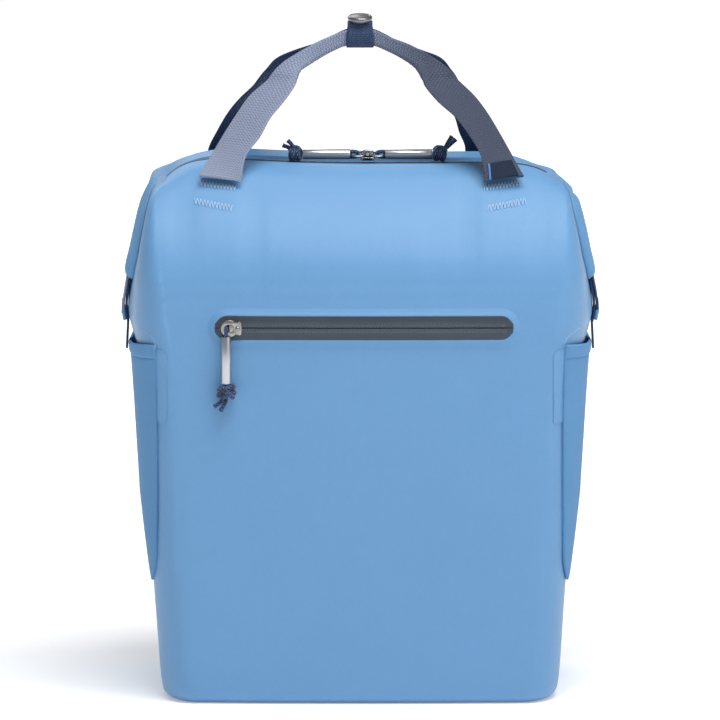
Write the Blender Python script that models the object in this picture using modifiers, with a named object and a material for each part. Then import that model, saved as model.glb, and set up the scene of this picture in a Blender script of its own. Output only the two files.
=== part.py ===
# Soft insulated cooler backpack with a zip top, folded-down ends, a front zip pocket and two grab handles.
# Metres, +Z up. The front faces -Y. The origin is on the floor under the middle of the base.

import math
from collections import namedtuple

import bmesh
import bpy
from mathutils import Matrix, Vector
from mathutils.bvhtree import BVHTree

COLLECTION = "cooler_backpack"
CUTTERS = "cutters"

# Clearances
GAP = 0.0003
MERGE = 0.00001

# Body
BODY_WIDTH = 0.334
BODY_DEPTH = 0.204
BODY_HEIGHT = 0.3915
BODY_WALL = 0.014
FLOOR_ROUNDING = 0.0084
FRONT_CROWN = 0.003
BACK_CROWN = 0.002
CORNER_WIDTH = 0.024
CORNER_DEPTH = 0.042
RIDGE_DROOP = 0.008
RIDGE_DROOP_POWER = 5
LEAST_CORNER_SHARE = 0.15

# Zip along the top, set in from both ends of the body
ZIP_TAPE_INSET = 0.025
ZIP_TAPE_WIDTH = 0.026
ZIP_TAPE_THICKNESS = 0.0012
ZIP_TAPE_LENGTH = BODY_WIDTH - 2 * ZIP_TAPE_INSET
MOUTH_SETBACK = 0.004
MOUTH_LENGTH = ZIP_TAPE_LENGTH - 2 * MOUTH_SETBACK
MOUTH_WIDTH = 0.010
ZIP_TAPE_STEPS = 16

# Front pocket zip, with its drop from the ridge
POCKET_ZIP_LENGTH = 0.220
POCKET_ZIP_WIDTH = 0.018
POCKET_ZIP_DROP = 0.110
POCKET_ZIP_HEIGHT = BODY_HEIGHT - POCKET_ZIP_DROP
COIL_WIDTH = 0.005
COIL_RISE = 0.0008
POCKET_ZIP_STEPS = 14
POCKET_ZIP_BENDS = (30, 55, 75)

# Zip pulls
SLIDER_LENGTH = 0.0080
SLIDER_WIDTH = 0.008
SLIDER_THICKNESS = 0.002
LUG_RADIUS = 0.0022
LUG_WIRE = 0.0007
RING_RADIUS = 0.0040
RING_WIRE = 0.0008
LUG_SEGMENTS = 12
RING_SEGMENTS = 18
WIRE_SIDES = 6
PULL_CORD = 0.0022
TUBE_LENGTH = 0.035
TUBE_DIAMETER = 0.0076
TUBE_WALL = 0.0005
TUBE_CLEARANCE = 0.0004
TUBE_SIDES = 14
KNOT_LENGTH = 0.0120
KNOT_WIDTH = 0.0145
KNOT_THICKNESS = 0.0074
TAIL_LENGTH = 0.0130
TAIL_SPREAD = 0.0060
POCKET_PULL_INSET = 0.0115
POCKET_PULL_X = POCKET_PULL_INSET - POCKET_ZIP_LENGTH / 2
TOP_PULL_SPREAD = 0.0072
TOP_PULL_CENTRE = 0.0056
TOP_SLIDER_SETBACK = 0.0010
POCKET_SLIDER_SETBACK = -0.0023

# Side pockets, with the drop of their rims from the ridge
POCKET_WALL = 0.0015
POCKET_BOTTOM = 0.087
POCKET_RIM_DROP = 0.1235
POCKET_RIM = BODY_HEIGHT - POCKET_RIM_DROP
POCKET_RIM_DIP = 0.006
POCKET_STAND = 0.0062
POCKET_CORNER = 0.040
POCKET_CORNER_SHARE = 0.45
POCKET_FULLNESS_POWER = 0.7
POCKET_OPENING_SHARE = 0.33
POCKET_OPENING_POWER = 0.6
POCKET_DIP_POWER = 6
POCKET_ROWS = 7
HEM_HEIGHT = 0.010
HEM_THICKNESS = 0.0008

# Folded ends of the top. Their straps end above and below the rims of the side pockets.
WING_THICKNESS = 0.006
WING_EDGE_SHARE = 0.45
WING_SHARES = (-1.0, -0.5, 0.0, 0.5, 1.0)
SIDE_WEBBING = 0.025
WEBBING = 0.0018
WING_STRAP_CLEARANCE = 0.007
WING_STRAP_END = POCKET_RIM + WING_STRAP_CLEARANCE
SIDE_STRAP_TUCK = 0.016
SIDE_STRAP_END = POCKET_RIM - SIDE_STRAP_TUCK
SIDE_STRAP_SETBACK = 0.0009
SIDE_STRAP_FLARE = 0.0034
WING_SNAP_SETBACK = 0.0085
WING_SNAP_HEIGHT = WING_STRAP_END + WING_SNAP_SETBACK
WING_SNAP_DIAMETER = 0.012
WING_SNAP_THICKNESS = 0.0012

# Grab handles
HANDLE_WEBBING = 0.030
HANDLE_RISE = 0.0916
FRONT_HANDLE_SPREAD = 0.1045
BACK_HANDLE_SPREAD = 0.0985
HANDLE_TUCK = 0.010
GRIP_FOLD = 0.0100
GRIP_THICKNESS = 0.0046
GRIP_GAP = 0.0030
WRAP_WIDTH = 0.019
WRAP_WALL = 0.0013
WRAP_PLAY = 0.0006
FLAP_LENGTH = 0.0150
FLAP_THICKNESS = 0.0048
SNAP_DIAMETER = 0.0178
SNAP_THICKNESS = 0.0048
SNAP_SIDES = 20
LABEL_WIDTH = 0.0185
LABEL_LENGTH = 0.0140
LABEL_SETBACK = 0.0012
LABEL_THICKNESS = 0.0008

# Shoulder straps on the back, with the drop of their tops from the ridge
SHOULDER_WIDTH = 0.058
SHOULDER_THICKNESS = 0.010
SHOULDER_DROP = 0.0735
SHOULDER_TOP = BODY_HEIGHT - SHOULDER_DROP
SHOULDER_END = 0.120
SHOULDER_BOW = 0.034
SHOULDER_INSET = 0.048
SHOULDER_OUTSET = 0.072
SHOULDER_TAPER_SHARE = 0.2
SHOULDER_STEPS = 12
YOKE_WIDTH = 0.165
YOKE_HEIGHT = 0.036
YOKE_THICKNESS = 0.008
ADJUSTER_WIDTH = 0.034
ADJUSTER_HEIGHT = 0.024
ADJUSTER_THICKNESS = 0.0036
ADJUSTER_BAR = 0.0030
LOWER_WEBBING = 0.025
LOWER_TAB_HEIGHT = 0.042
LOWER_TAB_INSET = 0.055
LOWER_TAB_X = BODY_WIDTH / 2 - LOWER_TAB_INSET
LOWER_TAB_SIZE = 0.036

# The body's sections from the base up. Lengths are shares: height of BODY_HEIGHT, half_width of half of
# BODY_WIDTH, front and back of half of BODY_DEPTH, corner of CORNER_WIDTH and CORNER_DEPTH, droop of RIDGE_DROOP.
Section = namedtuple("Section", "height half_width front back corner droop")
BODY_SECTIONS = (
    Section(0.0000, 0.802, 0.902, 0.902, 0.90, 0.00),
    Section(0.0064, 0.838, 0.956, 0.956, 0.95, 0.00),
    Section(0.0204, 0.856, 0.985, 0.980, 1.00, 0.00),
    Section(0.1124, 0.880, 1.000, 0.990, 1.00, 0.00),
    Section(0.2018, 0.898, 1.000, 0.990, 1.00, 0.00),
    Section(0.4355, 0.9355, 1.000, 0.990, 1.00, 0.00),
    Section(0.6692, 0.973, 1.000, 0.990, 1.00, 0.00),
    Section(0.7280, 1.000, 0.995, 0.985, 0.97, 0.00),
    Section(0.7995, 1.000, 0.975, 0.970, 0.92, 0.00),
    Section(0.8301, 0.995, 0.946, 0.950, 0.86, 0.00),
    Section(0.8685, 0.982, 0.882, 0.905, 0.78, 0.00),
    Section(0.9119, 0.964, 0.765, 0.815, 0.70, 0.00),
    Section(0.9655, 0.940, 0.549, 0.620, 0.60, 0.15),
    Section(0.9860, 0.919, 0.441, 0.510, 0.52, 0.60),
    Section(0.9962, 0.895, 0.353, 0.412, 0.44, 0.90),
    Section(1.0000, 0.877, 0.275, 0.304, 0.34, 1.00),
    Section(0.9962, 0.859, 0.201, 0.083, 0.20, 0.95),
)
FACE_SHARES = (-1.0, -0.7, -0.35, 0.0, 0.35, 0.7, 1.0)
SIDE_SHARES = (0.5, 1.0)
CORNER_STEPS = 5
POCKET_CORNER_STEPS = 2

# The folded ends from the ridge down: height of BODY_HEIGHT, reach as a share of the room on the side panel,
# thickness as a share of WING_THICKNESS.
WingRow = namedtuple("WingRow", "height reach thickness")
WING_ROWS = (
    WingRow(0.9655, 0.92, 0.45),
    WingRow(0.9119, 0.93, 0.70),
    WingRow(0.8685, 0.70, 0.85),
    WingRow(0.8301, 0.53, 0.95),
    WingRow(0.7995, 0.39, 1.00),
    WingRow(0.7800, 0.29, 0.75),
)

# A snap cap's outline from its crown to its foot, as shares of its radius and its thickness
SnapRow = namedtuple("SnapRow", "radius height")
SNAP_PROFILE = (
    SnapRow(0.00, 1.00),
    SnapRow(0.55, 0.96),
    SnapRow(0.86, 0.78),
    SnapRow(1.00, 0.45),
    SnapRow(0.96, 0.12),
    SnapRow(0.86, 0.00),
    SnapRow(0.00, 0.00),
)

# A handle's centre line from its foot to the grip: along as a share of its spread, out as a share of the
# depth between foot and grip, rise as a share of HANDLE_RISE, fold from flat webbing 0 to the folded grip 1.
HandleRow = namedtuple("HandleRow", "along out rise fold")
FRONT_HANDLE = (
    HandleRow(0.985, 0.93, 0.100, 0.00),
    HandleRow(0.917, 0.76, 0.228, 0.00),
    HandleRow(0.847, 0.62, 0.330, 0.00),
    HandleRow(0.773, 0.49, 0.434, 0.00),
    HandleRow(0.692, 0.37, 0.540, 0.00),
    HandleRow(0.610, 0.26, 0.637, 0.03),
    HandleRow(0.507, 0.14, 0.765, 0.35),
    HandleRow(0.430, 0.08, 0.840, 0.70),
    HandleRow(0.270, 0.02, 0.935, 0.95),
    HandleRow(0.120, 0.00, 0.998, 1.00),
)
BACK_HANDLE = (
    HandleRow(0.985, 0.94, 0.060, 0.00),
    HandleRow(0.945, 0.80, 0.172, 0.00),
    HandleRow(0.865, 0.63, 0.317, 0.00),
    HandleRow(0.780, 0.50, 0.412, 0.00),
    HandleRow(0.687, 0.37, 0.515, 0.00),
    HandleRow(0.600, 0.26, 0.630, 0.03),
    HandleRow(0.503, 0.14, 0.755, 0.35),
    HandleRow(0.400, 0.07, 0.860, 0.75),
    HandleRow(0.270, 0.02, 0.950, 0.95),
    HandleRow(0.120, 0.00, 0.998, 1.00),
)

# Finishes: colour, roughness, metallic
Finish = namedtuple("Finish", "colour roughness metallic")
FINISHES = {
    "body_cloth": Finish("6f9fcc", 0.75, 0.0),
    "pocket_cloth": Finish("6394c3", 0.75, 0.0),
    "zip_tape": Finish("414c58", 0.60, 0.0),
    "slider": Finish("b9b7b3", 0.30, 1.0),
    "ring": Finish("b9b7b3", 0.30, 1.0),
    "pull_cord": Finish("15294a", 0.80, 0.0),
    "aluminium": Finish("d0d3d8", 0.30, 1.0),
    "webbing_front": Finish("6e7890", 0.70, 0.0),
    "webbing_navy": Finish("16294a", 0.75, 0.0),
    "snap_metal": Finish("70747c", 0.35, 1.0),
    "label": Finish("1b2740", 0.60, 0.0),
    "padding": Finish("1d2d49", 0.80, 0.0),
    "moulded_plastic": Finish("1c222c", 0.45, 0.0),
}


def linear(colour):
    """Linear red, green and blue of an sRGB hex colour."""
    parts = [int(colour[i : i + 2], 16) / 255 for i in (0, 2, 4)]
    return [c / 12.92 if c <= 0.04045 else ((c + 0.055) / 1.055) ** 2.4 for c in parts]


def material(name):
    found = bpy.data.materials.get(name)
    if found:
        return found
    made = bpy.data.materials.new(name)
    made.use_nodes = True
    shader = made.node_tree.nodes["Principled BSDF"]
    finish = FINISHES[name]
    shader.inputs["Base Color"].default_value = (*linear(finish.colour), 1.0)
    shader.inputs["Roughness"].default_value = finish.roughness
    shader.inputs["Metallic"].default_value = finish.metallic
    made.diffuse_color = (*linear(finish.colour), 1.0)
    return made


def clear_scene():
    for old in list(bpy.data.objects):
        bpy.data.objects.remove(old, do_unlink=True)


def collection(name):
    found = bpy.data.collections.get(name)
    if not found:
        found = bpy.data.collections.new(name)
        bpy.context.scene.collection.children.link(found)
    return found


def place(name, data, finish):
    """A part of the backpack made from mesh or curve data."""
    part = bpy.data.objects.new(name, data)
    data.materials.append(material(finish))
    collection(COLLECTION).objects.link(part)
    return part


def cutter(name, mesh):
    """A solid that only shapes others."""
    tool = bpy.data.objects.new(name, mesh)
    collection(CUTTERS).objects.link(tool)
    tool.hide_render = True
    tool.display_type = "WIRE"
    return tool


def boolean(part, tool, operation):
    step = part.modifiers.new(tool.name, "BOOLEAN")
    step.operation = operation
    step.solver = "EXACT"
    step.object = tool


def solidify(part, thickness, outward=True):
    step = part.modifiers.new("wall", "SOLIDIFY")
    step.thickness = thickness
    step.offset = 1.0 if outward else -1.0
    step.use_even_offset = True
    return step


def bevel(part, width, segments=2):
    step = part.modifiers.new("rounded_edges", "BEVEL")
    step.width = width
    step.segments = segments
    step.limit_method = "ANGLE"
    step.angle_limit = math.radians(40)


def smooth(mesh, degrees=40):
    mesh.shade_smooth()
    mesh.set_sharp_from_angle(angle=math.radians(degrees))


def mesh_of(name, points, faces):
    mesh = bpy.data.meshes.new(name)
    mesh.from_pydata([tuple(p) for p in points], [], faces)
    mesh.update()
    return mesh


def sheet_mesh(name, rows):
    """An open sheet through rows of points, facing along row step x column step."""
    width = len(rows[0])
    points = [p for row in rows for p in row]
    faces = []
    for r in range(len(rows) - 1):
        for c in range(width - 1):
            a = r * width + c
            faces.append((a, a + width, a + width + 1, a + 1))
    return mesh_of(name, points, faces)


def loft_mesh(name, rings):
    """A closed solid through rings of points that run anticlockwise seen against the loft, with flat ends."""
    count = len(rings[0])
    points = [p for ring in rings for p in ring]
    faces = [tuple(reversed(range(count)))]
    for r in range(len(rings) - 1):
        for c in range(count):
            a = r * count + c
            b = r * count + (c + 1) % count
            faces.append((a, b, b + count, a + count))
    last = (len(rings) - 1) * count
    faces.append(tuple(range(last, last + count)))
    return mesh_of(name, points, faces)


def outward(mesh):
    """The mesh with its doubles welded and all its faces pointing out."""
    work = bmesh.new()
    work.from_mesh(mesh)
    bmesh.ops.remove_doubles(work, verts=work.verts, dist=MERGE)
    bmesh.ops.recalc_face_normals(work, faces=work.faces)
    work.to_mesh(mesh)
    work.free()
    return mesh


def box_mesh(name, size, centre):
    work = bmesh.new()
    bmesh.ops.create_cube(work, size=1.0)
    bmesh.ops.scale(work, vec=size, verts=work.verts)
    bmesh.ops.translate(work, vec=centre, verts=work.verts)
    mesh = bpy.data.meshes.new(name)
    work.to_mesh(mesh)
    work.free()
    return mesh


def as_mesh(curve_object):
    """The mesh of a curve object, with its caps welded. The curve is removed."""
    bpy.context.view_layer.update()
    evaluated = curve_object.evaluated_get(bpy.context.evaluated_depsgraph_get())
    mesh = bpy.data.meshes.new_from_object(evaluated)
    mesh.transform(curve_object.matrix_world)
    bpy.data.objects.remove(curve_object, do_unlink=True)
    return outward(mesh)


def wire_curve(name, points, radius):
    """A round wire or cord along points, with filled ends."""
    curve = bpy.data.curves.new(name, "CURVE")
    curve.dimensions = "3D"
    curve.bevel_depth = radius
    curve.bevel_resolution = 2
    curve.use_fill_caps = True
    spline = curve.splines.new("POLY")
    spline.points.add(len(points) - 1)
    for slot, point in zip(spline.points, points):
        slot.co = (*point, 1.0)
    return curve


# The body's outer form


class Level:
    """One horizontal section of the body in metres."""

    def __init__(self, section, inset=0.0):
        self.z = section.height * BODY_HEIGHT
        self.half_width = section.half_width * BODY_WIDTH / 2 - inset
        self.front = -section.front * BODY_DEPTH / 2 + inset
        self.back = section.back * BODY_DEPTH / 2 - inset
        least = LEAST_CORNER_SHARE * (self.back - self.front)
        self.corner_x = max(section.corner * CORNER_WIDTH - inset, least)
        self.corner_y = max(min(section.corner * CORNER_DEPTH - inset, 2 * least), least)
        self.droop = section.droop * RIDGE_DROOP

    def point(self, x, y):
        fall = self.droop * min(abs(x) / self.half_width, 1.0) ** RIDGE_DROOP_POWER
        return Vector((x, y, self.z - fall))

    def side_range(self):
        """The straight stretch of the side panel, front to back."""
        return self.front + self.corner_y, self.back - self.corner_y

    def ring(self):
        """Points round the section, anticlockwise seen from above, from the middle of the left side."""
        y0, y1 = self.side_range()
        middle = (y0 + y1) / 2
        reach = (y1 - y0) / 2
        straight = self.half_width - self.corner_x
        points = [self.point(-self.half_width, middle - s * reach) for s in (0.0, *SIDE_SHARES)]
        points += self.corner(-1, self.front, 1)
        points += self.face(self.front, FRONT_CROWN, straight, 1)
        points += reversed(self.corner(1, self.front, 1))
        right = [middle - s * reach for s in reversed(SIDE_SHARES)] + [middle]
        right += [middle + s * reach for s in SIDE_SHARES]
        points += [self.point(self.half_width, y) for y in right]
        points += self.corner(1, self.back, -1)
        points += self.face(self.back, -BACK_CROWN, straight, -1)
        points += reversed(self.corner(-1, self.back, -1))
        points += [self.point(-self.half_width, middle + s * reach) for s in reversed(SIDE_SHARES)]
        return points

    def corner(self, side, face_y, inward):
        """Points between the side and the face at one corner, from the side on."""
        points = []
        for step in range(1, CORNER_STEPS):
            turn = math.radians(90 * step / CORNER_STEPS)
            x = self.half_width - self.corner_x * (1 - math.cos(turn))
            y = face_y + inward * self.corner_y * (1 - math.sin(turn))
            points.append(self.point(side * x, y))
        return points

    def face(self, face_y, crown, straight, direction):
        return [
            self.point(direction * s * straight, face_y - crown * (1 - s * s)) for s in FACE_SHARES
        ]


def blend_sections(low, high, share):
    return Section(*(a + (b - a) * share for a, b in zip(low, high)))


def section_at(z):
    """The section at a height below the ridge, between the rows of the table."""
    share = z / BODY_HEIGHT
    for low, high in zip(BODY_SECTIONS, BODY_SECTIONS[1:]):
        if low.height <= share <= high.height:
            return blend_sections(low, high, (share - low.height) / (high.height - low.height))
    return BODY_SECTIONS[-2]


def body_heights(low, high):
    """The two heights and those of the body's rows between them."""
    rows = [section.height * BODY_HEIGHT for section in BODY_SECTIONS[:-1]]
    return [low] + [z for z in rows if low + GAP < z < high - GAP] + [high]


def strip_cap(count, first, flip):
    """Faces that close a ring: one at each side panel, and strips from front to back between them."""
    side = len(SIDE_SHARES) + 1
    half = count // 2
    faces = [[*range(count - side, count), *range(side + 1)]]
    for i in range(side, half - side):
        faces.append([i, i + 1, count - i - 1, count - i])
    faces.append([*range(half - side, half + side + 1)])
    placed = [tuple(first + i for i in face) for face in faces]
    return [tuple(reversed(face)) for face in placed] if flip else placed


def body_solid(name, levels):
    """A triangulated closed solid through the levels."""
    rings = [level.ring() for level in levels]
    count = len(rings[0])
    points = [p for ring in rings for p in ring]
    faces = strip_cap(count, 0, True)
    for r in range(len(rings) - 1):
        for c in range(count):
            a = r * count + c
            b = r * count + (c + 1) % count
            faces.append((a, b, b + count, a + count))
    faces += strip_cap(count, (len(rings) - 1) * count, False)
    mesh = mesh_of(name, points, faces)
    work = bmesh.new()
    work.from_mesh(mesh)
    bmesh.ops.triangulate(work, faces=work.faces)
    work.to_mesh(mesh)
    work.free()
    return mesh


def mouth_y():
    """The zip lies midway along the trough of the ridge."""
    level = Level(BODY_SECTIONS[-1])
    return (level.front + level.back) / 2


def cavity_levels():
    """The hollow inside the padded wall, from its floor to under the ridge."""
    heights = [BODY_WALL, BODY_WALL + FLOOR_ROUNDING]
    top = BODY_HEIGHT - BODY_WALL
    for section in BODY_SECTIONS[3:-4]:
        z = section.height * BODY_HEIGHT
        if heights[-1] + FLOOR_ROUNDING < z < top:
            heights.append(z)
    heights.append(top)
    return [Level(section_at(z)._replace(droop=0.0), BODY_WALL) for z in heights]


def make_body():
    levels = [Level(section) for section in BODY_SECTIONS]
    mesh = body_solid("body_shell", levels)
    smooth(mesh, 50)
    body = place("body_shell", mesh, "body_cloth")
    surface = bmesh.new()
    surface.from_mesh(mesh)
    tree = BVHTree.FromBMesh(surface)
    surface.free()
    hollow = cutter("hollow", body_solid("hollow", cavity_levels()))
    boolean(body, hollow, "DIFFERENCE")
    depth = 3 * BODY_WALL
    centre = (0, mouth_y(), BODY_HEIGHT - depth / 4)
    slot = box_mesh("mouth", (MOUTH_LENGTH, MOUTH_WIDTH, depth), centre)
    boolean(body, cutter("mouth", slot), "DIFFERENCE")
    return tree


def hit(tree, origin, direction):
    found = tree.ray_cast(Vector(origin), Vector(direction))[0]
    if found is None:
        raise ValueError("no body surface there")
    return found


def surface_y(tree, x, z, facing):
    """Where the front (facing -1) or the back (facing 1) lies at a place."""
    return hit(tree, (x, facing * BODY_DEPTH, z), (0, -facing, 0)).y


def front_at(tree, x, z):
    return surface_y(tree, x, z, -1)


def back_at(tree, x, z):
    return surface_y(tree, x, z, 1)


def top_at(tree, x, y):
    return hit(tree, (x, y, 2 * BODY_HEIGHT), (0, 0, -1)).z


# Zips and their pulls


def make_top_zip(tree):
    """Tape along the trough of the ridge, bent down a little at its ends."""
    half = ZIP_TAPE_WIDTH / 2
    rows = []
    for i in range(ZIP_TAPE_STEPS + 1):
        x = ZIP_TAPE_LENGTH * (0.5 - i / ZIP_TAPE_STEPS)
        across = (mouth_y() - half, mouth_y() + half)
        z = max(top_at(tree, x, y) for y in across) + 2 * GAP
        rows.append([Vector((x, y, z)) for y in across])
    mesh = sheet_mesh("top_zip_tape", rows)
    mesh.flip_normals()
    solidify(place("top_zip_tape", mesh, "zip_tape"), ZIP_TAPE_THICKNESS)
    return top_at(tree, 0, mouth_y() - half) + 2 * GAP + ZIP_TAPE_THICKNESS


def make_pocket_zip(tree):
    """Tape in the round-ended window of the front pocket, with its coil standing a little proud. Gives
    the outer face that its slider lies on."""
    radius = POCKET_ZIP_WIDTH / 2
    reach = POCKET_ZIP_LENGTH / 2
    straight = reach - radius
    columns = [straight * (2 * i / POCKET_ZIP_STEPS - 1) for i in range(POCKET_ZIP_STEPS + 1)]
    bends = [radius * math.sin(math.radians(a)) for a in POCKET_ZIP_BENDS]
    columns = [-straight - b for b in reversed(bends)] + columns + [straight + b for b in bends]
    lines = (-1.0, -COIL_WIDTH / POCKET_ZIP_WIDTH, 0.0, COIL_WIDTH / POCKET_ZIP_WIDTH, 1.0)
    rows = []
    for x in columns:
        past = max(abs(x) - straight, 0.0)
        half = math.sqrt(radius**2 - past**2)
        face = min(front_at(tree, x, POCKET_ZIP_HEIGHT + s * half) for s in lines)
        row = []
        for share in lines:
            rise = COIL_RISE if share == 0.0 and past == 0.0 else 0.0
            row.append(Vector((x, face - 2 * GAP - rise, POCKET_ZIP_HEIGHT + share * half)))
        rows.append(row)
    mesh = sheet_mesh("pocket_zip_tape", rows)
    solidify(place("pocket_zip_tape", mesh, "zip_tape"), ZIP_TAPE_THICKNESS)
    under = [POCKET_PULL_X + SLIDER_LENGTH * i for i in range(3)]
    half = SLIDER_WIDTH / 2
    coil = min(front_at(tree, x, POCKET_ZIP_HEIGHT) for x in under) - COIL_RISE
    edges = min(front_at(tree, x, POCKET_ZIP_HEIGHT + side * half) for x in under for side in (-1, 1))
    return min(coil, edges) - 2 * GAP - ZIP_TAPE_THICKNESS


def torus_mesh(name, radius, wire, turns, sides):
    bpy.ops.mesh.primitive_torus_add(
        major_radius=radius, minor_radius=wire, major_segments=turns, minor_segments=sides
    )
    ring = bpy.context.object
    mesh = ring.data
    bpy.data.objects.remove(ring, do_unlink=True)
    mesh.name = name
    smooth(mesh, 80)
    return mesh


def frame_matrix(origin, right, up, out):
    """Local X along right, Y along up and Z along out."""
    turn = Matrix((right, up, out)).transposed().to_4x4()
    return Matrix.Translation(origin) @ turn


def make_slider(name, frame, face, setback):
    """A zip slider with the lug that its ring hangs in. The frame's origin is the ring's centre, local X
    points at the slider and local Z out of the surface. The face is the ring plane's height over the tape."""
    centre = (RING_RADIUS - setback, 0, GAP - face + SLIDER_THICKNESS / 2)
    mesh = box_mesh(name, (SLIDER_LENGTH, SLIDER_WIDTH, SLIDER_THICKNESS), centre)
    mesh.transform(frame)
    slider = place(name, mesh, "slider")
    lug = torus_mesh(name + "_lug", LUG_RADIUS, LUG_WIRE, LUG_SEGMENTS, WIRE_SIDES)
    lug.transform(frame @ Matrix.Translation((RING_RADIUS, 0, 0)) @ Matrix.Rotation(math.pi / 2, 4, "X"))
    boolean(slider, cutter(name + "_lug", lug), "UNION")
    bevel(slider, SLIDER_THICKNESS / 4, 1)


def make_ring(name, frame):
    mesh = torus_mesh(name, RING_RADIUS, RING_WIRE, RING_SEGMENTS, WIRE_SIDES)
    ring = place(name, mesh, "ring")
    ring.matrix_world = frame


def make_tube(name, frame, start):
    """An aluminium tube turned from its wall's section, open at both ends."""
    outer = TUBE_DIAMETER / 2
    inner = outer - TUBE_WALL
    edge = TUBE_WALL / 4
    profile = [
        (outer - edge, 0, 0),
        (outer, 0, -edge * 2),
        (outer, 0, -TUBE_LENGTH + edge * 2),
        (outer - edge, 0, -TUBE_LENGTH),
        (inner, 0, -TUBE_LENGTH),
        (inner, 0, 0),
    ]
    mesh = bpy.data.meshes.new(name)
    edges = [(i, (i + 1) % len(profile)) for i in range(len(profile))]
    mesh.from_pydata(profile, edges, [])
    tube = place(name, mesh, "aluminium")
    turn = tube.modifiers.new("turned", "SCREW")
    turn.steps = TUBE_SIDES
    turn.render_steps = TUBE_SIDES
    turn.use_merge_vertices = True
    turn.merge_threshold = MERGE
    turn.use_smooth_shade = True
    tube.matrix_world = frame @ Matrix.Translation(start) @ Matrix.Rotation(-math.pi / 2, 4, "X")


def make_pull_cord(name, frame, start):
    """A cord doubled over the ring, through the tube, with a knot and two tails past it. Local Y runs back
    from the tube to the ring, and the cord leaves the tube along -Y."""
    radius = PULL_CORD / 2
    at_ring = RING_WIRE + radius + GAP
    in_tube = radius + GAP / 2 + GAP
    top = -RING_RADIUS
    far = start - TUBE_LENGTH
    points = [(0, far - KNOT_LENGTH / 2, in_tube), (0, start - TUBE_LENGTH / 2, in_tube), (0, start, in_tube)]
    for step in range(7):
        turn = math.radians(180 * step / 6)
        points.append((0, top + at_ring * math.sin(turn), at_ring * math.cos(turn)))
    points += [(0, y, -z) for _, y, z in reversed(points[:3])]
    curve = wire_curve(name, points, radius)
    loop = bpy.data.objects.new(name, curve)
    collection(COLLECTION).objects.link(loop)
    mesh = as_mesh(loop)
    mesh.transform(frame)
    cord = place(name, mesh, "pull_cord")
    knot = bmesh.new()
    bmesh.ops.create_uvsphere(knot, u_segments=12, v_segments=8, radius=0.5)
    bmesh.ops.scale(knot, vec=(KNOT_WIDTH, KNOT_LENGTH, KNOT_THICKNESS), verts=knot.verts)
    bmesh.ops.translate(knot, vec=(0, far - KNOT_LENGTH / 2 - GAP, 0), verts=knot.verts)
    knot_mesh = bpy.data.meshes.new(name + "_knot")
    knot.to_mesh(knot_mesh)
    knot.free()
    knot_mesh.transform(frame)
    boolean(cord, cutter(name + "_knot", knot_mesh), "UNION")
    for side in (-1, 1):
        tail_name = name + ("_tail_left" if side < 0 else "_tail_right")
        begin = (side * KNOT_WIDTH / 5, far - KNOT_LENGTH * 0.7, 0)
        end = (side * TAIL_SPREAD, far - KNOT_LENGTH - TAIL_LENGTH / 2, 0)
        tail = bpy.data.objects.new(tail_name, wire_curve(tail_name, [begin, end], radius))
        collection(CUTTERS).objects.link(tail)
        tail_mesh = as_mesh(tail)
        tail_mesh.transform(frame)
        boolean(cord, cutter(tail_name, tail_mesh), "UNION")


def make_pull(prefix, centre, toward_slider, along, out, face, setback):
    """Slider, ring, cord and tube. The cord leaves the ring along `along`."""
    ring_frame = frame_matrix(centre, toward_slider, out.cross(toward_slider), out)
    pull_frame = frame_matrix(centre, (-along).cross(out), -along, out)
    start = -RING_RADIUS - RING_WIRE - GAP * 3
    make_slider(prefix + "_slider", ring_frame, face, setback)
    make_ring(prefix + "_ring", ring_frame)
    make_tube(prefix + "_tube", pull_frame, Vector((0, start, 0)))
    make_pull_cord(prefix + "_cord", pull_frame, start)


def make_pulls(top_face, pocket_face):
    """The ring plane stands off each tape by the tube's radius."""
    face = TUBE_DIAMETER / 2 + TUBE_CLEARANCE
    x_axis, z_axis = Vector((1, 0, 0)), Vector((0, 0, 1))
    for side in (-1, 1):
        prefix = "top_left" if side < 0 else "top_right"
        x = TOP_PULL_CENTRE + side * TOP_PULL_SPREAD
        centre = Vector((x, mouth_y(), top_face + face))
        make_pull(prefix, centre, -side * x_axis, side * x_axis, z_axis, face, TOP_SLIDER_SETBACK)
    centre = Vector((POCKET_PULL_X, pocket_face - face, POCKET_ZIP_HEIGHT))
    out = Vector((0, -1, 0))
    make_pull("pocket", centre, x_axis, -z_axis, out, face, POCKET_SLIDER_SETBACK)


# Side pockets


def pocket_column(level, index):
    """A point of the section and its outward direction, for the columns round the right side."""
    ring = level.ring()
    count = len(ring)
    before = ring[(index - 1) % count]
    after = ring[(index + 1) % count]
    along = (after - before).normalized()
    return ring[index], Vector((along.y, -along.x, 0))


def pocket_columns():
    """The columns from the front corner to the back corner on the right side."""
    first = len(SIDE_SHARES) + 1 + (CORNER_STEPS - 1) + len(FACE_SHARES) + POCKET_CORNER_STEPS
    last = first + (CORNER_STEPS - 1 - POCKET_CORNER_STEPS) * 2 + 2 * len(SIDE_SHARES)
    return range(first, last + 1)


def pocket_rows(low, high, count):
    return [low + (high - low) * i / (count - 1) for i in range(count)]


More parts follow.
